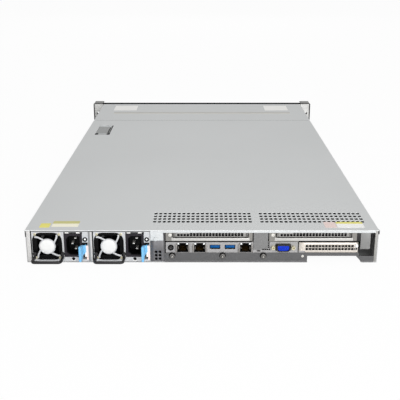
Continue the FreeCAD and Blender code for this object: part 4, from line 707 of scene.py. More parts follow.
def ductShape(centre, half, back, face):
    # square outside and round inside: each outer point has its bore point on the same ray
    outer = roundedLoop(2 * half[0], 2 * half[1], 0.5, 8)
    bore = outer / np.linalg.norm(outer, axis=1, keepdims=True) * supplyLooks["ductRadius"]
    return lofted([(outer, back), (outer, face), (bore * 1.04, face), (bore, face - 1.2), (bore, back)],
                  (centre[0], 0, centre[1]), ring=True)


def bladeShape(inner, outer, run, lead, rows=6, around=12):
    # a section like a thin leaf, carried outwards: angle and depth both follow the place along the chord,
    # and the whole section turns back as the radius grows
    swept = evenAngles(around)
    place = (1 - np.cos(swept)) / 2
    side = np.sin(swept) * supplyLooks["bladeThickness"] * 0.5
    depth = run[0] + (run[1] - run[0]) * (place + 0.10 * np.sin(math.pi * place)) / 1.05 + side * 0.7
    loops = []
    for radius in np.linspace(inner, outer, rows):
        share = (radius - inner) / (outer - inner)
        angle = np.radians(lead + supplyLooks["bladeChord"] * (place - 0.5)
                           + supplyLooks["bladeTurn"] * share * share) + side / radius * 0.7
        loops.append(np.stack([radius * np.cos(angle), np.clip(depth, *run), radius * np.sin(angle)], axis=1))
    return skin(np.array(loops))


def rotorShape(centre, low, high):
    # a hub with a rounded nose and its blades
    hub, count = supplyLooks["hubRadius"], supplyLooks["bladeCount"]
    shapes = [turnedShape([(hub * 0.6, low), (hub, low + 0.3), (hub, high - 1.2), (hub - 0.35, high - 0.35),
                           (hub - 1.2, high), (hub * 0.3, high)], (0, 0, 0), count=40)]
    shapes += [bladeShape(hub - 0.4, supplyLooks["tipRadius"], (low + 0.6, high - 0.8), 360.0 * step / count)
               for step in range(count)]
    return moved(merged(shapes), (centre[0], 0, centre[1]))


def inletShape(low, high):
    # a block whose mouth is a six-sided well; outer and inner loops share their rays
    half = (high - low)[[0, 2]] / 2
    middle = ((low + high) / 2)[[0, 2]]
    well, clipped = half - supplyLooks["inletRim"], supplyLooks["inletCut"]
    slope = math.sqrt(0.5)
    cut = (well[0] + well[1] - clipped) * slope
    outer = [(1, 0, half[0]), (-1, 0, half[0]), (0, 1, half[1]), (0, -1, half[1])]
    inner = [(1, 0, well[0]), (-1, 0, well[0]), (0, 1, well[1]), (0, -1, well[1]),
             (slope, slope, cut), (slope, -slope, cut)]
    corners = [math.atan2(sign * up, across) for sign in (1, -1)
               for across, up in ((half[0], half[1]), (-half[0], half[1]), (-well[0], well[1]),
                                  (well[0], well[1] - clipped), (well[0] - clipped, well[1]))]
    angles = np.unique(np.round(np.concatenate([np.linspace(-math.pi, math.pi, 33)[1:], corners]), 5))
    outside, inside = rayLoop(outer, angles), rayLoop(inner, angles)
    face, centre = high[1], (middle[0], 0, middle[1])
    shroud = lofted([(outside, low[1]), (outside, face - 0.5), (outside * 0.97, face), (inside * 1.05, face),
                     (inside, face - 0.9), (inside, low[1])], centre, ring=True)
    liner = lofted([(inside * 0.995, face - supplyLooks["inletDepth"]), (inside * 0.995, face - 0.9),
                    (inside * 0.95, face - 1.0), (inside * 0.94, face - 17.0)], centre)
    return shroud, liner


def handleShape(low, high):
    # a rounded bar carried round a bow with two turned corners, and a foot at each end
    bar, turn = supplyLooks["handleBar"], supplyLooks["handleTurn"]
    level = low[2] + supplyLooks["handleRise"]
    low, high = low - (1.2, 0, 0), high - (2.0, 0, 0)
    left, right, end = low[0] + bar / 2, high[0] - bar / 2, high[1] - bar / 2
    flat = np.concatenate([[(left, low[1])], arcPoints((left + turn, end - turn), turn, 180, 90, 7),
                           arcPoints((right - turn, end - turn), turn, 90, 0, 7), [(right, low[1])]])
    shapes = [sweep(roundedLoop(bar, 3.4, 1.2, 4), spread(flat, level, 2), (0, 0, 1))]
    for start in (low[0], high[0] - bar):
        shapes.append(softBlock((start, low[1], low[2]), (start + bar, low[1] + 3.0, high[2]), 1.2, 0.6, axis=2))
        shapes.append(turnedShape([(2.3, low[1]), (2.3, low[1] + 1.4), (1.7, low[1] + 1.9), (0.8, low[1] + 1.9)],
                                  (start + bar / 2, 0, high[2] - 0.4), count=20))
    return merged(shapes)


def tabShape(low, high):
    # upright plate that leans outwards past the inlet and thickens to its tip: lean, height, level and width
    # all follow the reach
    rows = []
    root = high[0] - supplyLooks["tabInset"]
    for along, lean, foot, top, thick in supplyLooks["tabRows"]:
        bottom = low[2] + foot
        loop = roundedLoop(thick, top - bottom, min(1.4, thick / 2.2), 5)
        rows.append((loop + (root + lean + thick / 2, (top + bottom) / 2), along))
    shapes = [lofted(rows),
              softBlock((root + 0.1, low[1], low[2] + 5.0), (root + 2.1, 387.5, high[2] - 4.0), 0.9, 0.3)]
    starts = [high[1] - 3.4 - 2.4 * step for step in range(4)]
    shapes += blocks([((root + 3.0, start - 0.9, low[2] + 6.0), (root + 3.6, start, high[2] + 1.0))
                      for start in starts], 0.25, 0.2, arc=3)
    return merged(shapes)


def makeSupply(number):
    # the fan's parts, the inlet's, handle and release tab, then what is set on the rear face
    looks = supplyLooks
    add = unitPieces("supply", number)
    bodyHigh = box(f"psu_body_{number}")[1]
    left, rear = bodyHigh[0], bodyHigh[1]
    fanLow, fanHigh = box(f"psu_fan_frame_{number}")
    centre, half = ((fanLow + fanHigh) / 2)[[0, 2]], ((fanHigh - fanLow) / 2)[[0, 2]]
    guardBack = rear - looks["guardDepth"]
    add("fan_guard", guardShape(centre, half, guardBack, rear), "supplySteel", "supply_steel", "psu_fan_frame")
    add("fan_duct", ductShape(centre, half, fanLow[1], guardBack - looks["ductGap"]), "blackPlastic",
        "fan_plastic", "psu_fan_frame")
    add("hub_label", turnedShape(standing(looks["hubLabel"], rear), (centre[0], 0, centre[1]), count=40),
        "labelSilver", "supply_steel")
    rotorLow, rotorHigh = box(f"psu_rotor_{number}")
    add("supply_blades", rotorShape(centre, rotorLow[1], rotorHigh[1]), "rotorBlack", "fan_plastic",
        "psu_rotor", "_rotor")
    add("fan_screws", [screwHead((left - across, rear - 0.3, up), *looks["screw"])
                       for across, up in looks["cornerScrews"]], "zincYellow", "supply_steel")

    inletLow, inletHigh = box(f"psu_inlet_{number}")
    shroud, liner = inletShape(inletLow, inletHigh)
    add("inlet_shroud", shroud, "inletPlastic", "inlet_plastic", "psu_inlet")
    add("inlet_well", liner, "blackPlastic", "inlet_plastic", "psu_inlet")
    middle = (inletLow + inletHigh) / 2
    places = [(middle[0] + across, middle[2] + up) for across, up in looks["bladePlaces"]]
    (wide, tall), (root, tip) = looks["bladeHalf"], inletHigh[1] - looks["bladeDepths"]
    add("inlet_blades", blocks([((x - wide, root, z - tall), (x + wide, tip, z + tall)) for x, z in places],
                               0.3, 0.4), "bladeNickel", "inlet_plastic")
    add("supply_handle", handleShape(*box(f"psu_handle_{number}")), "handlePlastic", "handle_plastic", "psu_handle")
    add("release_tab", tabShape(*box(f"psu_latch_{number}")), "releaseBlue", "release_blue", "psu_latch", "_latch")

    lampX, lampZ = left - looks["lampPlace"][0], looks["lampPlace"][1]
    holeX, holeZ = left - looks["fingerHole"][0], looks["fingerHole"][1]
    plates = {name: softBlock((left - start, rear - sunk, bottom), (left - end, rear + proud, top), corner, edge)
              for name, (start, end, bottom, top, sunk, proud, corner, edge) in looks["plates"].items()}
    ring = turnedShape(standing(looks["lampRing"], rear), (lampX, 0, lampZ), ring=True)
    plug = turnedShape(standing(looks["holePlug"], rear), (holeX, 0, holeZ), count=24)
    add("lamp_ring", [ring, plates["slot"], plates["gap"], plug], "blackPlastic", "handle_plastic")
    add("lamp_lens", turnedShape(standing(looks["lampLens"], rear), (lampX, 0, lampZ), count=24), "lensPale",
        "handle_plastic")
    lip = sweep(circle(looks["lipRadius"], 8), spread(arcPoints((holeX, holeZ), *looks["lipArc"]), rear + 0.1, 1),
                (0, 1, 0))
    add("hole_lip", [lip, plates["nearStrip"], plates["farStrip"], plates["sideStrip"]], "labelWhite",
        "supply_steel")
    add("edge_gasket", plates["gasket"], "gasketBlack", "handle_plastic")
    add("supply_label", plates["label"], "labelPink", "supply_steel")


for number in (1, 2):
    makeSupply(number)
print("power supplies made")


rearLooks = {
    # places across, or across and up, in millimetres
    "wall": 390.0,
    "face": 388.8,
    "jacks": (23.7, 2.7, -54.1),
    "jackBottom": 13.2,
    "wires": 8,
    "wirePitch": 1.02,
    "ports": (-16.3, -34.9),
    "portLevel": 20.3,
    "portMouth": (13.0, 5.6),
    "video": (-100.7, 20.1),
    "videoFlange": (19.6, 9.8, 1.6, 5),
    "videoLoops": ((17.4, 8.6, 2.4), (15.6, 7.0, 1.8), (14.6, 6.4, 1.6)),
    "pinCup": [(0.52, -1.1), (0.66, -0.84), (0.44, -0.84), (0.4, -1.1)],
    "pinRows": (0.0, 1.15, 0.0),
    "pinPitch": (2.3, 1.95),
    "postSpread": 12.5,
    "slotScrews": ((39.2, 36.7, 2.2), (-87.5, 36.7, 2.2), (-125.1, 8.5, 1.6)),
    "thumbScrews": (36.8, -25.8, -76.2),
    "thumbLevel": 9.4,
    "thumbRows": [
        # radius, distance from the wall, depth of the knurl and of the cross recess
        (2.4, 0.0, 0, 0), (2.5, 0.6, 0, 0), (3.05, 0.8, 0.14, 0), (3.15, 1.1, 0.16, 0), (3.15, 3.2, 0.16, 0),
        (2.9, 3.7, 0.05, 0), (2.3, 3.9, 0, 0), (1.3, 3.9, 0, 0.3), (1.1, 2.7, 0, 0.3),
    ],
    "thumbSeat": [(4.1, 389.8), (4.1, 390.25), (3.9, 390.4), (2.2, 390.4)],
    # a pale dot on each captive head: painted highlight
    "thumbGlint": [(0.8, 393.0), (0.8, 393.9), (0.65, 394.05), (0.2, 394.1)],
    "findRing": [(3.6, 388.7), (3.6, 390.6), (3.3, 391.0), (2.7, 391.0), (2.45, 390.65), (2.45, 388.7)],
    "slotSheet": 0.5,
    "slotLength": 91.3,
    "slotHole": 1.56,
    "slotPitch": 3.93,
    "slotRows": ((35.9, 0.7, 0), (39.3, 0.8, 4)),
    "slotHoles": 21,
    "blankHole": 1.56,
    "blankPitch": 4.03,
    "blankStart": (-129.9, 17.8),
    "blankHoles": 15,
    "knob": [(1.9, 389.8), (1.9, 390.3), (1.3, 390.6), (1.3, 391.2), (1.8, 391.6), (1.85, 392.0), (1.4, 392.4),
             (0.6, 392.5)],
    "hems": ((-131.0, 46.0), (-213.0, -199.5)),
    "columnSheet": 0.8,
    "columnSpan": (46.0, 62.9),
    "columnMiddle": 54.4,
    "foam": [
        # lowest and highest across and up, along the edges of openings: black strips that paint the shade in their gaps
        (44.7, 13.0, 45.9, 41.9), (-191.0, 26.95, -119.4, 28.8), (-119.9, 13.4, -119.2, 27.0),
        (-62.0, 27.2, 45.6, 28.7), (-192.2, 17.5, -191.4, 28.0), (64.0, 41.1, 211.0, 42.1),
    ],
    "risers": (35.6, -91.8),
    "riserLength": 92.6,
    "riserLevels": (32.9, 41.8),
    "darkPlates": [
        # behind the column's holes a dark plate as painted shade, and at the two rear corners of the cover
        ((49.4, 387.6, 2.2), (59.4, 388.0, 17.0)), ((-218.4, 387.0, 37.6), (-216.9, 390.3, 42.7)),
        ((216.9, 388.0, 34.0), (217.9, 390.3, 42.7)),
    ],
}


def jackDetails():
    # per socket: eight wires that rise to the back, two light windows in the top corners, two side springs
    face, bottom = rearLooks["face"], rearLooks["jackBottom"]
    wires, windows, springs, frames = [], [], [], []
    along = np.linspace(0, 1, 7)
    for x in rearLooks["jacks"]:
        for step in range(rearLooks["wires"]):
            place = x + (step - 3.5) * rearLooks["wirePitch"]
            path = np.stack([np.full(7, place), face - 2.0 - 12.0 * along,
                             bottom + 1.7 + 3.4 * np.sin(along * math.pi / 2)], axis=1)
            wires.append(sweep(circle(0.24, 6), path, (1, 0, 0)))
        for side in (-1, 1):
            edge, corner = x + side * 8.0, x + side * 5.4
            frames.append(softBlock((edge - 1.1, 390.1, 13.8), (edge + 1.1, 390.8, 24.4), 0.8, 0.25))
            windows.append(softBlock((corner - 1.2, face - 0.4, 23.5), (corner + 1.2, face + 0.45, 25.4), 0.4, 0.2))
            bend = np.sin(along * math.pi)
            path = np.stack([x + side * (6.0 - 0.9 * bend), face - 0.2 - 6.0 * along, np.full(7, bottom + 5.2)],
                            axis=1)
            springs.append(sweep(roundedLoop(0.35, 3.2, 0.1, 2), path, (0, 0, 1)))
    addPiece("jack_contacts", wires, "contactDim", "socket_metal")
    addPiece("jack_windows", windows, "lensPale", "socket_metal")
    addPiece("jack_springs", springs, "socketMetal", "socket_metal")
    addPiece("jack_frames", frames, "frameSteel", "socket_metal")


def portShapes():
    # per port: a folded shell round the mouth, a filled rear, a foot to the board, and a tongue with contacts
    face, level = rearLooks["face"], rearLooks["portLevel"]
    low = box("usb_ports")[0]
    width, height = rearLooks["portMouth"]
    outer, inner = roundedLoop(width, height, 0.7, 4), roundedLoop(12.1, 4.7, 0.5, 4)
    shells, tongues, contacts = [], [], []
    for x in rearLooks["ports"]:
        shells.append(lofted([(outer, low[1]), (outer, face - 0.15), (outer * 0.985, face + 0.2),
                              (inner * 1.02, face + 0.2), (inner, face - 0.2), (inner, low[1] + 4.0)], (x, 0, level)))
        shells.append(softBlock((x - 6.5, low[1], low[2]), (x + 6.5, face - 1.6, level - 2.9), 0.3, 0.2, axis=2))
        tongues.append(softBlock((x - 5.7, low[1] + 4.2, level - 1.3), (x + 5.7, face - 0.5, level + 1.9), 0.3, 0.25))
        tongues.append(softBlock((x - 5.9, low[1] + 4.2, level - 2.2), (x + 5.9, face - 4.6, level + 2.2), 0.3, 0.2))
        places = [x + (step - 1.5) * 2.5 for step in range(4)]
        contacts += blocks([((place - 0.5, face - 4.4, level - 1.55), (place + 0.5, face - 1.2, level - 1.25))
                            for place in places], 0.1, 0.08)
    addPiece("port_shells", shells, "blackMetal", "socket_metal", replaces=["usb_ports"])
    addPiece("port_tongues", tongues, "portBlue", "socket_metal")
    addPiece("port_contacts", contacts, "contactDim", "socket_metal")


def tapered(width, height, corner, taper=0.15, steps=5):
    # a rounded rectangle whose sides lean in towards the bottom
    loop = roundedLoop(width, height, corner, steps)
    loop[:, 0] *= 1 - taper * (0.5 - loop[:, 1] / height)
    return loop


def hexLoop(reach, count=24):
    # a six-sided loop with the same count of points as a circle
    sides = [(math.cos(turn * math.pi / 3), math.sin(turn * math.pi / 3), reach) for turn in range(6)]
    return rayLoop(sides, evenAngles(count))


def videoShapes():
    # the leaning shell, its flange, the pierced insert and two hexagonal posts with threaded bores
    low, high = box("video_connector")
    face, tip = rearLooks["face"], high[1]
    x, level = rearLooks["video"]
    outer, inner, body = (tapered(*loop) for loop in rearLooks["videoLoops"])
    flange = roundedLoop(*rearLooks["videoFlange"])
    shell = lofted([(flange, face - 0.6), (flange, face + 0.5), (outer * 1.12, face + 0.7),
                    (outer * 1.03, face + 1.1), (outer, face + 1.8), (outer, tip - 0.25), (outer * 0.985, tip),
                    (inner * 1.02, tip), (inner, tip - 0.3), (inner, face + 0.4)], (x, 0, level))
    base = softBlock((low[0] + 0.4, low[1], low[2]), (high[0] - 0.4, face - 1.6, high[2] - 0.6), 0.6, 0.4, axis=2)
    addPiece("video_shell", [shell, base], "blackMetal", "socket_metal", replaces=["video_connector"])
    insert = lofted([(body, face + 0.4), (body, tip - 1.2), (body * 0.97, tip - 0.9)], (x, 0, level))
    addPiece("video_insert", insert, "videoBlue", "socket_metal")
    across, up = rearLooks["pinPitch"]
    cups = [turnedShape(standing(rearLooks["pinCup"], tip),
                        (x + (step - 2) * across + shift - 0.4, 0, level + (1 - row) * up), count=10)
            for row, shift in enumerate(rearLooks["pinRows"]) for step in range(5)]
    addPiece("video_pin_holes", cups, "blackPlastic", "socket_metal")
    hexagon, bore = hexLoop(2.35), circle(1.35, 24)
    posts = [lofted([(hexagon, face + 0.4), (hexagon, tip - 1.5), (circle(2.3, 24), tip - 1.0), (bore * 1.1, tip - 1.0),
                     (bore, tip - 1.2), (bore, face + 1.2)], (x + side * rearLooks["postSpread"], 0, level))
             for side in (-1, 1)]
    addPiece("video_posts", posts, "zincYellow", "socket_metal", replaces=["video_connector"])


def screwShapes():
    # recessed pan heads, and captive screws whose rim is knurled by a cosine of the angle; a pale dot low on each
    # captive head is a painted highlight
    wall, level = rearLooks["wall"], rearLooks["thumbLevel"]
    pans = [screwHead((x, 389.9, z), size, 1.1) for x, z, size in rearLooks["slotScrews"]]
    addPiece("slot_screws", pans, "labelCream", "screw_steel", replaces=["rear_screws"])
    angle = evenAngles(72)
    loops = [((size + knurl * np.cos(24 * angle) + cross * np.cos(4 * angle))[:, None] * rays(angle), wall + rise)
             for size, rise, knurl, cross in rearLooks["thumbRows"]]
    places = rearLooks["thumbScrews"]
    addPiece("thumb_screws", [lofted(loops, (x, 0, level)) for x in places], "thumbSteel", "screw_steel",
             replaces=["rear_screws"])
    seats = [turnedShape(rearLooks["thumbSeat"], (x, 0, level)) for x in places]
    addPiece("thumb_seats", seats, "gasketBlack", "screw_steel")
    # a pale dot set low on each head: painted highlight
    glints = [turnedShape(rearLooks["thumbGlint"], (x, 0, level - 0.4)) for x in places]
    addPiece("thumb_glints", glints, "labelDim", "screw_steel")


def findButton():
    # a dished cap in a raised ring
    low, high = box("find_button")
    middle = (low + high) / 2
    radius = (high[0] - low[0]) / 2
    centre = (middle[0], 0, middle[2])
    cap = turnedShape([(radius * 0.7, low[1]), (radius, low[1] + 0.3), (radius, high[1] - 0.3),
                       (radius - 0.25, high[1]), (radius * 0.6, high[1] - 0.1), (radius * 0.25, high[1] - 0.25)],
                      centre)
    addPiece("find_cap", cap, "blackMetal", "button_plastic", "find_button", ["find_button"])
    addPiece("find_ring", turnedShape(rearLooks["findRing"], centre, ring=True), "blackPlastic", "button_plastic")


def slotSheets():
    # two slot covers with two rows of round holes; the upper row starts later
    low, high = box("slot_covers")
    hole, pitch, length = rearLooks["slotHole"], rearLooks["slotPitch"], rearLooks["slotLength"]
    sheets = []
    for start in (high[0], low[0] + length):
        openings = [(start - 6.0 - pitch * step, level, hole, hole, corner)
                    for level, corner, first in rearLooks["slotRows"]
                    for step in range(first, rearLooks["slotHoles"])]
        flat = piercedSheet((start - length, start), (low[2], high[2]), openings, 0.2)
        sheets.append(sheetShape(flat, high[1], 1))
    addPiece("slot_sheets", sheets, "slotSteelShaded", "slot_steel", replaces=["slot_covers"], sheet=rearLooks["slotSheet"])


def adapterSheet():
    # the vented blank with its stepped corner, and a domed pull knob
    low, high = box("adapter_blank")
    hole, pitch = rearLooks["blankHole"], rearLooks["blankPitch"]
    (across, up), count = rearLooks["blankStart"], rearLooks["blankHoles"]
    places = [(step, row) for row in (0, 1) for step in range(count)] + [(count, 0)]
    openings = [(across - pitch * step, up + pitch * row, hole, hole, 0.55) for step, row in places]
    flat = piercedSheet((low[0], high[0]), (low[2], high[2]), openings, 0.6,
                        cutaways=[(high[0] - 8.0, high[0], low[2], low[2] + 2.0)])
    addPiece("adapter_sheet", sheetShape(flat, rearLooks["wall"], 1), "blankSteel", "blank_steel",
             replaces=["adapter_blank"], sheet=rearLooks["slotSheet"])
    knob = turnedShape(rearLooks["knob"], (low[0] + 1.9, 0, high[2] - 4.2), count=28)
    addPiece("adapter_knob", knob, "lensPale", "blank_steel")


def lipDetails():
    # the turned bottom edge of the lip, and the oval slot and small square marks by the divider
    hems = [sweep(roundedLoop(1.7, 2.2, 0.75, 4), np.array([(start, 389.6, 1.2), (end, 389.6, 1.2)]), (0, 0, 1))
            for start, end in rearLooks["hems"]]
    addPiece("lip_hem", hems, "hemSteel", "tray_steel")
    oval = softBlock((-72.6, 389.9, 15.0), (-68.4, 390.7, 16.2), 0.5, 0.1, arc=6)
    marks = blocks([((-84.6 + 2.6 * step, 389.9, 16.8), (-82.9 + 2.6 * step, 390.7, 18.2)) for step in range(4)]
                   + [((-83.6, 389.9, 19.4 + 2.8 * step), (-82.2, 390.7, 21.2 + 2.8 * step)) for step in range(3)],
                   0.2, 0.05)
    addPiece("lip_slot", [oval] + marks, "gasketBlack", "plate_steel")


def rearPosts():
    # bright edge posts and the grey column with its two by three holes
    low, high = box("rear_posts")
    back, front = high[1] - 1.2, high[1] + 0.2
    near = softBlock((211.7, back, low[2]), (216.3, front, high[2]), 0.3, 0.3)
    far = softBlock((low[0], back, low[2]), (-213.5, front, high[2]), 0.3, 0.3)
    addPiece("near_post", near, "postSteel", "tray_steel", replaces=["rear_posts"])
    addPiece("far_post", far, "slotSteelShaded", "tray_steel", replaces=["rear_posts"])
    holes = [(rearLooks["columnMiddle"] + side * 2.4, 4.9 + 4.6 * step, 1.75, 1.75, 1.6)
             for side in (-1, 1) for step in range(3)]
    flat = piercedSheet(rearLooks["columnSpan"], (low[2], high[2]), holes, 0.6)
    addPiece("vent_column", sheetShape(flat, high[1], 1), "columnSteel", "tray_steel", replaces=["rear_posts"],
             sheet=rearLooks["columnSheet"])
    addPiece("cage_trim", softBlock((135.7, 389.2, 1.5), (138.0, 390.25, 41.0), 0.3, 0.2), "postSteel", "tray_steel")


def rearTrim():
    # black strips along the openings' edges that paint the shade in their gaps, dark plates behind holes as painted
    # shade, a lip under each riser, and the stepped cheek beside the far one with a recess wall in painted shade
    foam = blocks([((left, 389.0, bottom), (right, 390.2, top)) for left, bottom, right, top in rearLooks["foam"]],
                  0.25, 0.1)
    lips = []
    bottom, top = rearLooks["riserLevels"]
    for left in rearLooks["risers"]:
        right = left - rearLooks["riserLength"]
        lips.append(softBlock((right - 2.0, 389.5, 28.9), (left + 2.0, 390.35, bottom - 0.2), 0.5, 0.3))
        foam += blocks([((left - 0.6, 389.4, bottom + 1.0), (left + 0.6, 390.3, top - 3.0)),
                        ((right - 0.6, 389.4, bottom), (right + 0.6, 390.3, top)),
                        ((right, 389.4, bottom - 0.2), (left, 390.3, bottom + 0.6))], 0.2, 0.1)
        # a dark plate behind the slot sheets: painted shade seen through their holes
        foam.append(softBlock((right - 0.5, 387.0, 31.0), (left + 0.5, 387.3, 41.7), 0.3, 0.1))
    foam += blocks(rearLooks["darkPlates"], 0.3, 0.1)
    addPiece("edge_strips_and_shade", foam, "gasketBlack", "plate_steel")
    addPiece("riser_lips", lips, "bandSteel", "plate_steel")
    addPiece("riser_cheek", softBlock((-207.9, 389.6, 18.1), (-195.8, 390.5, 41.9), 0.5, 0.3), "blockSteel",
             "plate_steel")
    # the recess wall is coloured near black: painted shade
    addPiece("riser_recess_shade", softBlock((-195.7, 389.6, 28.2), (-191.0, 390.2, 41.9), 0.3, 0.1), "recessShadeSteel",
             "plate_steel")


jackDetails()
portShapes()
videoShapes()
screwShapes()
findButton()
slotSheets()
adapterSheet()
lipDetails()
rearPosts()
rearTrim()
print("rear plate made")


coverLooks = {
    "vents": ((59.8, 21), (-76.2, 22)),
    "ventPitch": 6.05,
    "ventRows": 4,
    "ventRowPitch": 10.0,
    "ventLast": 360.0,
    "vent": (2.0, 3.75, 1.7),
    "sheet": 1.0,
    "leverSheet": 2.4,
    "leverNose": 8.7,
    "noseNarrowing": 0.41,
    "fingerSlot": 26.0,
    "fingerSlotPlace": (3.4, 11.6, 1.1, 1.0),
    "barrel": (1.6, 1.1, 0.5),
    "leverRib": (6.5, 4.0, 1.1, 2.4),
    "proud": 0.25,
    "labelThick": 0.12,
    "labels": [
        # name, finish, body, x from and to, y from and to
        ("roof_label_near", "labelWhite", "chassis", (140.0, 189.0), (-366.0, -318.0)),
        ("roof_label_far", "labelWhite", "chassis", (-184.6, -134.7), (-366.0, -318.0)),
        ("roof_strip", "labelDim", "chassis", (-185.5, 185.5), (-301.0, -289.0)),
        ("roof_strip_thin", "labelCream", "chassis", (-185.5, 185.5), (-287.0, -281.0)),
        ("cover_square", "labelYellow", "cover", (189.4, 202.0), (367.0, 382.0)),
        ("cover_band_near", "labelOlive", "cover", (154.0, 187.4), (359.0, 368.0)),
        ("cover_label_near", "labelIvory", "cover", (154.0, 187.4), (368.2, 379.0)),
        ("cover_label_middle", "labelPink", "cover", (-167.6, -153.0), (362.0, 382.0)),
        ("cover_band_far", "labelYellow", "cover", (-202.0, -168.4), (362.0, 368.0)),
        ("cover_label_far", "labelWhite", "cover", (-202.0, -168.4), (368.2, 382.0)),
    ],
    "rivetsAlong": (-352, -268, -205, -60, 85, 192, 300, 372),
    "rivetLevels": (8.0, 35.0),
}


def coverSheet():
    # one flat sheet with two fields of slots and the window for the latch pan
    low, high = box("top_cover")
    panLow, panHigh = box("latch_pan")
    openings = [(start - coverLooks["ventPitch"] * step, coverLooks["ventLast"] - coverLooks["ventRowPitch"] * row,
                 *coverLooks["vent"])
                for start, columns in coverLooks["vents"] for row in range(coverLooks["ventRows"])
                for step in range(columns)]
    middle, reach = (panLow + panHigh) / 2, (panHigh - panLow) / 2 - 1.0
    openings.append((middle[0], middle[1], reach[0], reach[1], 1.6))
    flat = piercedSheet((low[0], high[0]), (low[1], high[1]), openings, 0.95)
    addPiece("vented_cover", sheetShape(flat, high[2], 2), "coverSteel", "cover_steel", "cover",
             ["top_cover"], sheet=coverLooks["sheet"], bevel=0.28)


def latchLever():
    # a plate that narrows to its nose, with a long finger slot, grip ribs and a barrel at its front end
    low, high = box("cover_latch")
    middle = (low[0] + high[0]) / 2
    nose, half = coverLooks["leverNose"], coverLooks["fingerSlot"]
    side, start, thin, corner = coverLooks["fingerSlotPlace"]
    slot = (low[0] + side, low[1] + start + half, thin, half, corner)
    points, quads = piercedSheet((low[0] + 0.9, high[0] - 0.2), (low[1] + 0.6, high[1] + 0.4), [slot], 0.5)
    narrowing = np.clip((points[:, 1] - (high[1] - nose)) / nose, 0, 1) * coverLooks["noseNarrowing"]
    points[:, 0] = middle + (points[:, 0] - middle) * (1 - narrowing)
    addPiece("latch_lever", sheetShape((points, quads), high[2] + 0.1, 2), "leverGrey", "latch_grey", "cover_lever",
             ["cover_latch"], sheet=coverLooks["leverSheet"], bevel=0.4)
    radius, slim, chamfer = coverLooks["barrel"]
    barrel = turnedShape([(slim, low[0]), (radius, low[0] + chamfer), (radius, high[0] - chamfer), (slim, high[0])],
                         (0, low[1] + radius, low[2] + radius), axis=0, count=24)
    bottom, crest = high[2] - 0.2, high[2] + coverLooks["proud"]
    band = softBlock((low[0] + 2.6, low[1] + 2.2, bottom), (high[0] - 1.2, low[1] + 12.0, crest), 0.8, 0.15, axis=2)
    half, start, wide, pitch = coverLooks["leverRib"]
    ribs = blocks([((middle - half, high[1] - start - pitch * step, bottom),
                    (middle + half, high[1] - start + wide - pitch * step, crest)) for step in range(3)],
                  0.5, 0.2, axis=2, arc=3)
    addPiece("latch_barrel", [barrel, band] + ribs, "latchBand", "latch_grey", "cover_lever")
    # black blocks at the lever's rear corners and strips along its sides: painted shade in the gap round the lever
    foot, top = high[2] - 2.6, high[2] + 0.35
    gapShades = blocks([((side - 2.6, high[1] - 10.0, foot), (side + 2.6, high[1] + 1.4, top))
                      for side in (low[0] + 1.2, high[0] - 1.8)], 0.5, 0.2, axis=2)
    gapShades.append(softBlock((low[0] - 1.0, low[1] + 2.0, foot), (low[0] + 0.8, high[1] + 0.3, top),
                             0.4, 0.2, axis=2))
    gapShades.append(softBlock((high[0] + 0.4, low[1] + 14.0, foot), (high[0] + 1.4, high[1], top - 0.1),
                             0.3, 0.2, axis=2))
    addPiece("latch_gap_shade", gapShades, "gasketBlack", "latch_grey", "cover")


def labels():
    # blank stickers: thin plates with rounded corners
    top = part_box("top_cover")[1][2] / mm
    for name, finish, body, across, along in coverLooks["labels"]:
        shape = softBlock((across[0], along[0], top - 0.1), (across[1], along[1], top + coverLooks["labelThick"]),
                          1.4, 0.04, axis=2, steps=2)
        addPiece(name, shape, finish, "cover_steel", body)


def seamStrip():
    # thin black foam in the joint between the fixed roof and the sliding cover
    low, high = box("front_roof")
    strip = softBlock((low[0] + 3.0, high[1] - 0.1, high[2] - 0.6), (high[0] - 3.0, high[1] + 0.65, high[2] + 0.03),
                      0.2, 0.1, axis=2)
    addPiece("seam_strip", strip, "gasketBlack", "tray_steel")


def wallRivets():
    # flush round rivets along both walls
    low, high = box("side_walls")
    rivets = [turnedShape([(2.2, edge - side * 0.2), (2.2, edge + side * 0.1), (1.6, edge + side * 0.3),
                           (0.7, edge + side * 0.36)], (0, along, level), axis=0, count=16)
              for side, edge in ((1, high[0]), (-1, low[0]))
              for along in coverLooks["rivetsAlong"] for level in coverLooks["rivetLevels"]]
    addPiece("wall_rivets", rivets, "traySteel", "tray_steel")


coverSheet()
latchLever()
labels()
seamStrip()
wallRivets()
print("cover made")


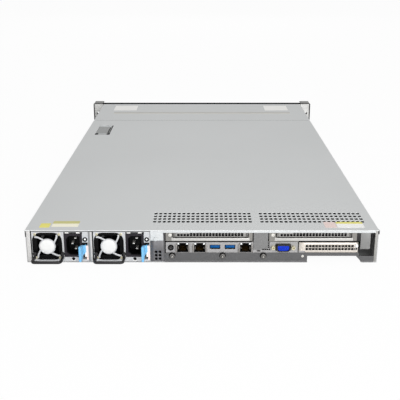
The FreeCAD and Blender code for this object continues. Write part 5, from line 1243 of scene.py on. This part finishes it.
frontLooks = {
    "wall": -390.0,
    "faceInset": 5.0,
    "ventStart": 8.2,
    "ventMargin": 0.4,
    "vent": (1.25, 1.25, 1.15),
    "ventPitch": 3.5,
    "ventCount": 25,
    "ventRows": (4.6, 26.4),
    "grilleSheet": 2.4,
    "leftCheek": 6.0,
    "rightCheek": 12.0,
    "bezelLip": 1.5,
    "lamps": (10.2, 20.6),
    "lampInset": 6.0,
    "driveLamp": [(0.9, -0.35), (1.3, -0.15), (1.3, 0.4)],
    "railSize": (1.5, 14.0),
    "disk": (1.6, 1.0, 25.0),
    "diskLid": (9.0, 14.0, 20.0),
    "diskScrew": (1.7, 0.7),
    "diskScrewInsets": (5.2, 12.0, 72.0),
    "handleSheet": 3.2,
    "handleWindow": (10.0, 4.0, 1.6),
    "handleHinge": (2.0, 1.5, 0.5),
    "powerRing": [(1.5, 0.2), (1.4, -0.25), (0.9, -0.4), (0.45, -0.25), (0.35, 0.2)],
    "earLamp": [(0.4, -0.35), (0.9, -0.2), (1.0, 0.3)],
    "earLampLevels": (30.0, 33.6, 37.2),
    "gripRibs": 6,
    "gripPitch": 5.6,
    "gripSpan": (8.0, 22.0),
    "gripLevels": (6.0, 8.2),
    "earEdges": [
        # middle and half width, front and foot, back and top
        (240.6, 0.9, (-390.4, 1.5), (-385.6, 42.8)),
        (229.6, 11.4, (-391.5, 42.4), (-388.0, 43.35)),
    ],
    "earCap": (231.1, 9.8, (-419.0, 41.6), (-391.6, 43.3)),
    "brow": ((-401.0, 41.2), (-400.6, 42.6), (-399.6, 43.35), (-384.2, 43.35), (-384.2, 43.1), (-391.1, 43.1),
             (-391.1, 40.9), (-400.6, 40.9)),
    "browEnds": (220.6, 220.8),
}


def makeDrive(number):
    # a pierced bezel between two cheeks, the sheet-metal carrier round the drive, and a swing handle
    looks = frontLooks
    add = unitPieces("drive", number)
    low, high = box(f"drive_carrier_{number}")
    leverLow, leverHigh = box(f"drive_lever_{number}")
    face, root, back = low[1] + looks["faceInset"], looks["wall"], high[1]
    left, right = low[0] + looks["leftCheek"], high[0] - looks["rightCheek"]
    start = low[0] + looks["ventStart"]
    openings = [(start + looks["ventPitch"] * step, level, *looks["vent"])
                for level in looks["ventRows"] for step in range(looks["ventCount"])]
    flat = piercedSheet((low[0], high[0]), (low[2], high[2]), openings, looks["ventMargin"])
    add("bezel_grille", sheetShape(flat, face, 1, face=-1), "bezelBlack", "carrier_plastic", "drive_carrier",
        sheet=looks["grilleSheet"])
    cheeks = blocks([(low, (left, root, high[2])), ((right, low[1], low[2]), (high[0], root, high[2]))], 0.8, 0.8)
    lip = looks["bezelLip"]
    cheeks += blocks([((left, face + 2.0, low[2]), (right, root, low[2] + lip)),
                      ((left, face + 2.0, high[2] - lip), (right, root, high[2]))], 0.3, 0.2)
    add("bezel_cheeks", cheeks, "bezelBlack", "carrier_plastic", "drive_carrier")
    lamps = [turnedShape(standing(looks["driveLamp"], low[1]), (high[0] - looks["lampInset"], 0, level), count=16)
             for level in looks["lamps"]]
    add("drive_lamps", lamps, "lensPale", "carrier_plastic")
    thick, tall = looks["railSize"]
    add("carrier_rails", blocks([((low[0], root, low[2]), (low[0] + thick, back, low[2] + tall)),
                                 ((high[0] - thick, root, low[2]), (high[0], back, low[2] + tall))], 0.5, 0.3),
        "traySteel", "carrier_plastic", "drive_carrier")
    inset, foot, top = looks["disk"]
    side, front, end = looks["diskLid"]
    disk = [softBlock((low[0] + inset, root + 0.3, low[2] + foot), (high[0] - inset, back, low[2] + top), 1.6, 0.8,
                      arc=5),
            softBlock((low[0] + side, root + front, low[2] + top - 0.4),
                      (high[0] - side, back - end, low[2] + top + 0.5), 4.0, 0.4, axis=2, arc=6)]
    side, near, middle = looks["diskScrewInsets"]
    disk += [screwHead((across, along, low[2] + top - 0.1), *looks["diskScrew"], axis=2)
             for across in (low[0] + side, high[0] - side) for along in (root + near, root + middle, back - near)]
    add("disk", disk, "finAluminium", "carrier_plastic")

    level = (leverLow[2] + leverHigh[2]) / 2
    pin, slim, chamfer = looks["handleHinge"]
    windowX = leverHigh[0] - 4.0 - looks["handleWindow"][0]
    plate = piercedSheet((leverLow[0] + pin, leverHigh[0]), (leverLow[2], leverHigh[2]),
                         [(windowX, level, *looks["handleWindow"])], 0.9)
    add("swing_handle", sheetShape(plate, leverLow[1], 1, face=-1), "handlePlastic", "lever_plastic", "drive_lever",
        "_lever", sheet=looks["handleSheet"], bevel=0.5)
    hinge = [turnedShape([(slim, leverLow[2]), (pin, leverLow[2] + chamfer), (pin, leverHigh[2] - chamfer),
                          (slim, leverHigh[2])], (leverLow[0] + pin, leverLow[1] + pin, 0), axis=2, count=24)]
    hinge += blocks([((windowX - 17.0 - 3.0 * step, leverLow[1] - 0.3, level - 5.0),
                      (windowX - 15.8 - 3.0 * step, leverLow[1] + 0.4, level + 5.0)) for step in range(5)],
                    0.5, 0.2, arc=3)
    add("handle_hinge", hinge, "handlePlastic", "lever_plastic", part="_lever")


def onBothEars(across, half, low, high, corner, edge, **more):
    # the same block at both sides of the server
    return blocks([((side * across - half, *low), (side * across + half, *high)) for side in (-1, 1)],
                  corner, edge, **more)


def earDetails():
    # the power button with its ring, three status lamps, ribs, dark edges and a cap on each grip, and the brow
    low, high = box("power_button")
    middle = (low + high) / 2
    radius = (high[0] - low[0]) / 2
    centre = (middle[0], 0, middle[2])
    cap = turnedShape([(radius * 0.25, low[1] + 0.3), (radius * 0.6, low[1] + 0.12), (radius - 0.5, low[1]),
                       (radius, low[1] + 0.5), (radius, high[1])], centre, count=40)
    addPiece("power_cap", cap, "leverGrey", "button_plastic", "power_button", ["power_button"])
    earLow, earHigh = box("ear_housings")
    face = earLow[1]
    ring = turnedShape([(radius + wider, face + out) for wider, out in frontLooks["powerRing"]], centre, count=40,
                       ring=True)
    addPiece("power_ring", ring, "screwSteel", "housing_plastic")
    lamps = [turnedShape(standing(frontLooks["earLamp"], face), (-middle[0], 0, level), count=16)
             for level in frontLooks["earLampLevels"]]
    addPiece("ear_lamps", lamps, "lensPale", "housing_plastic")
    starts = [min(side * (earHigh[0] - 0.9), side * (earHigh[0] - 0.9) + side * 1.1) for side in (-1, 1)]
    levels = [frontLooks["gripPitch"] * step for step in range(frontLooks["gripRibs"])]
    (front, back), (foot, top) = frontLooks["gripSpan"], frontLooks["gripLevels"]
    grips = blocks([((start, face + front, foot + level), (start + 1.1, face + back, top + level))
                    for start in starts for level in levels], 0.8, 0.3, axis=0, arc=3)
    addPiece("ear_ribs", grips, "housingGrey", "housing_plastic")
    edges = [edge for row in frontLooks["earEdges"] for edge in onBothEars(*row, 0.15, 0.1)]
    addPiece("ear_edges", edges, "browBlack", "housing_plastic")
    addPiece("ear_caps", onBothEars(*frontLooks["earCap"], 1.2, 0.4, axis=2), "housingGrey", "housing_plastic")
    near, far = frontLooks["browEnds"]
    addPiece("front_brow", lofted([(frontLooks["brow"], across) for across in (-far, -near, near, far)], axis=0),
             "browBlack", "front_steel")


for number in range(1, 5):
    makeDrive(number)
earDetails()
print("front made")


bpy.context.view_layer.update()
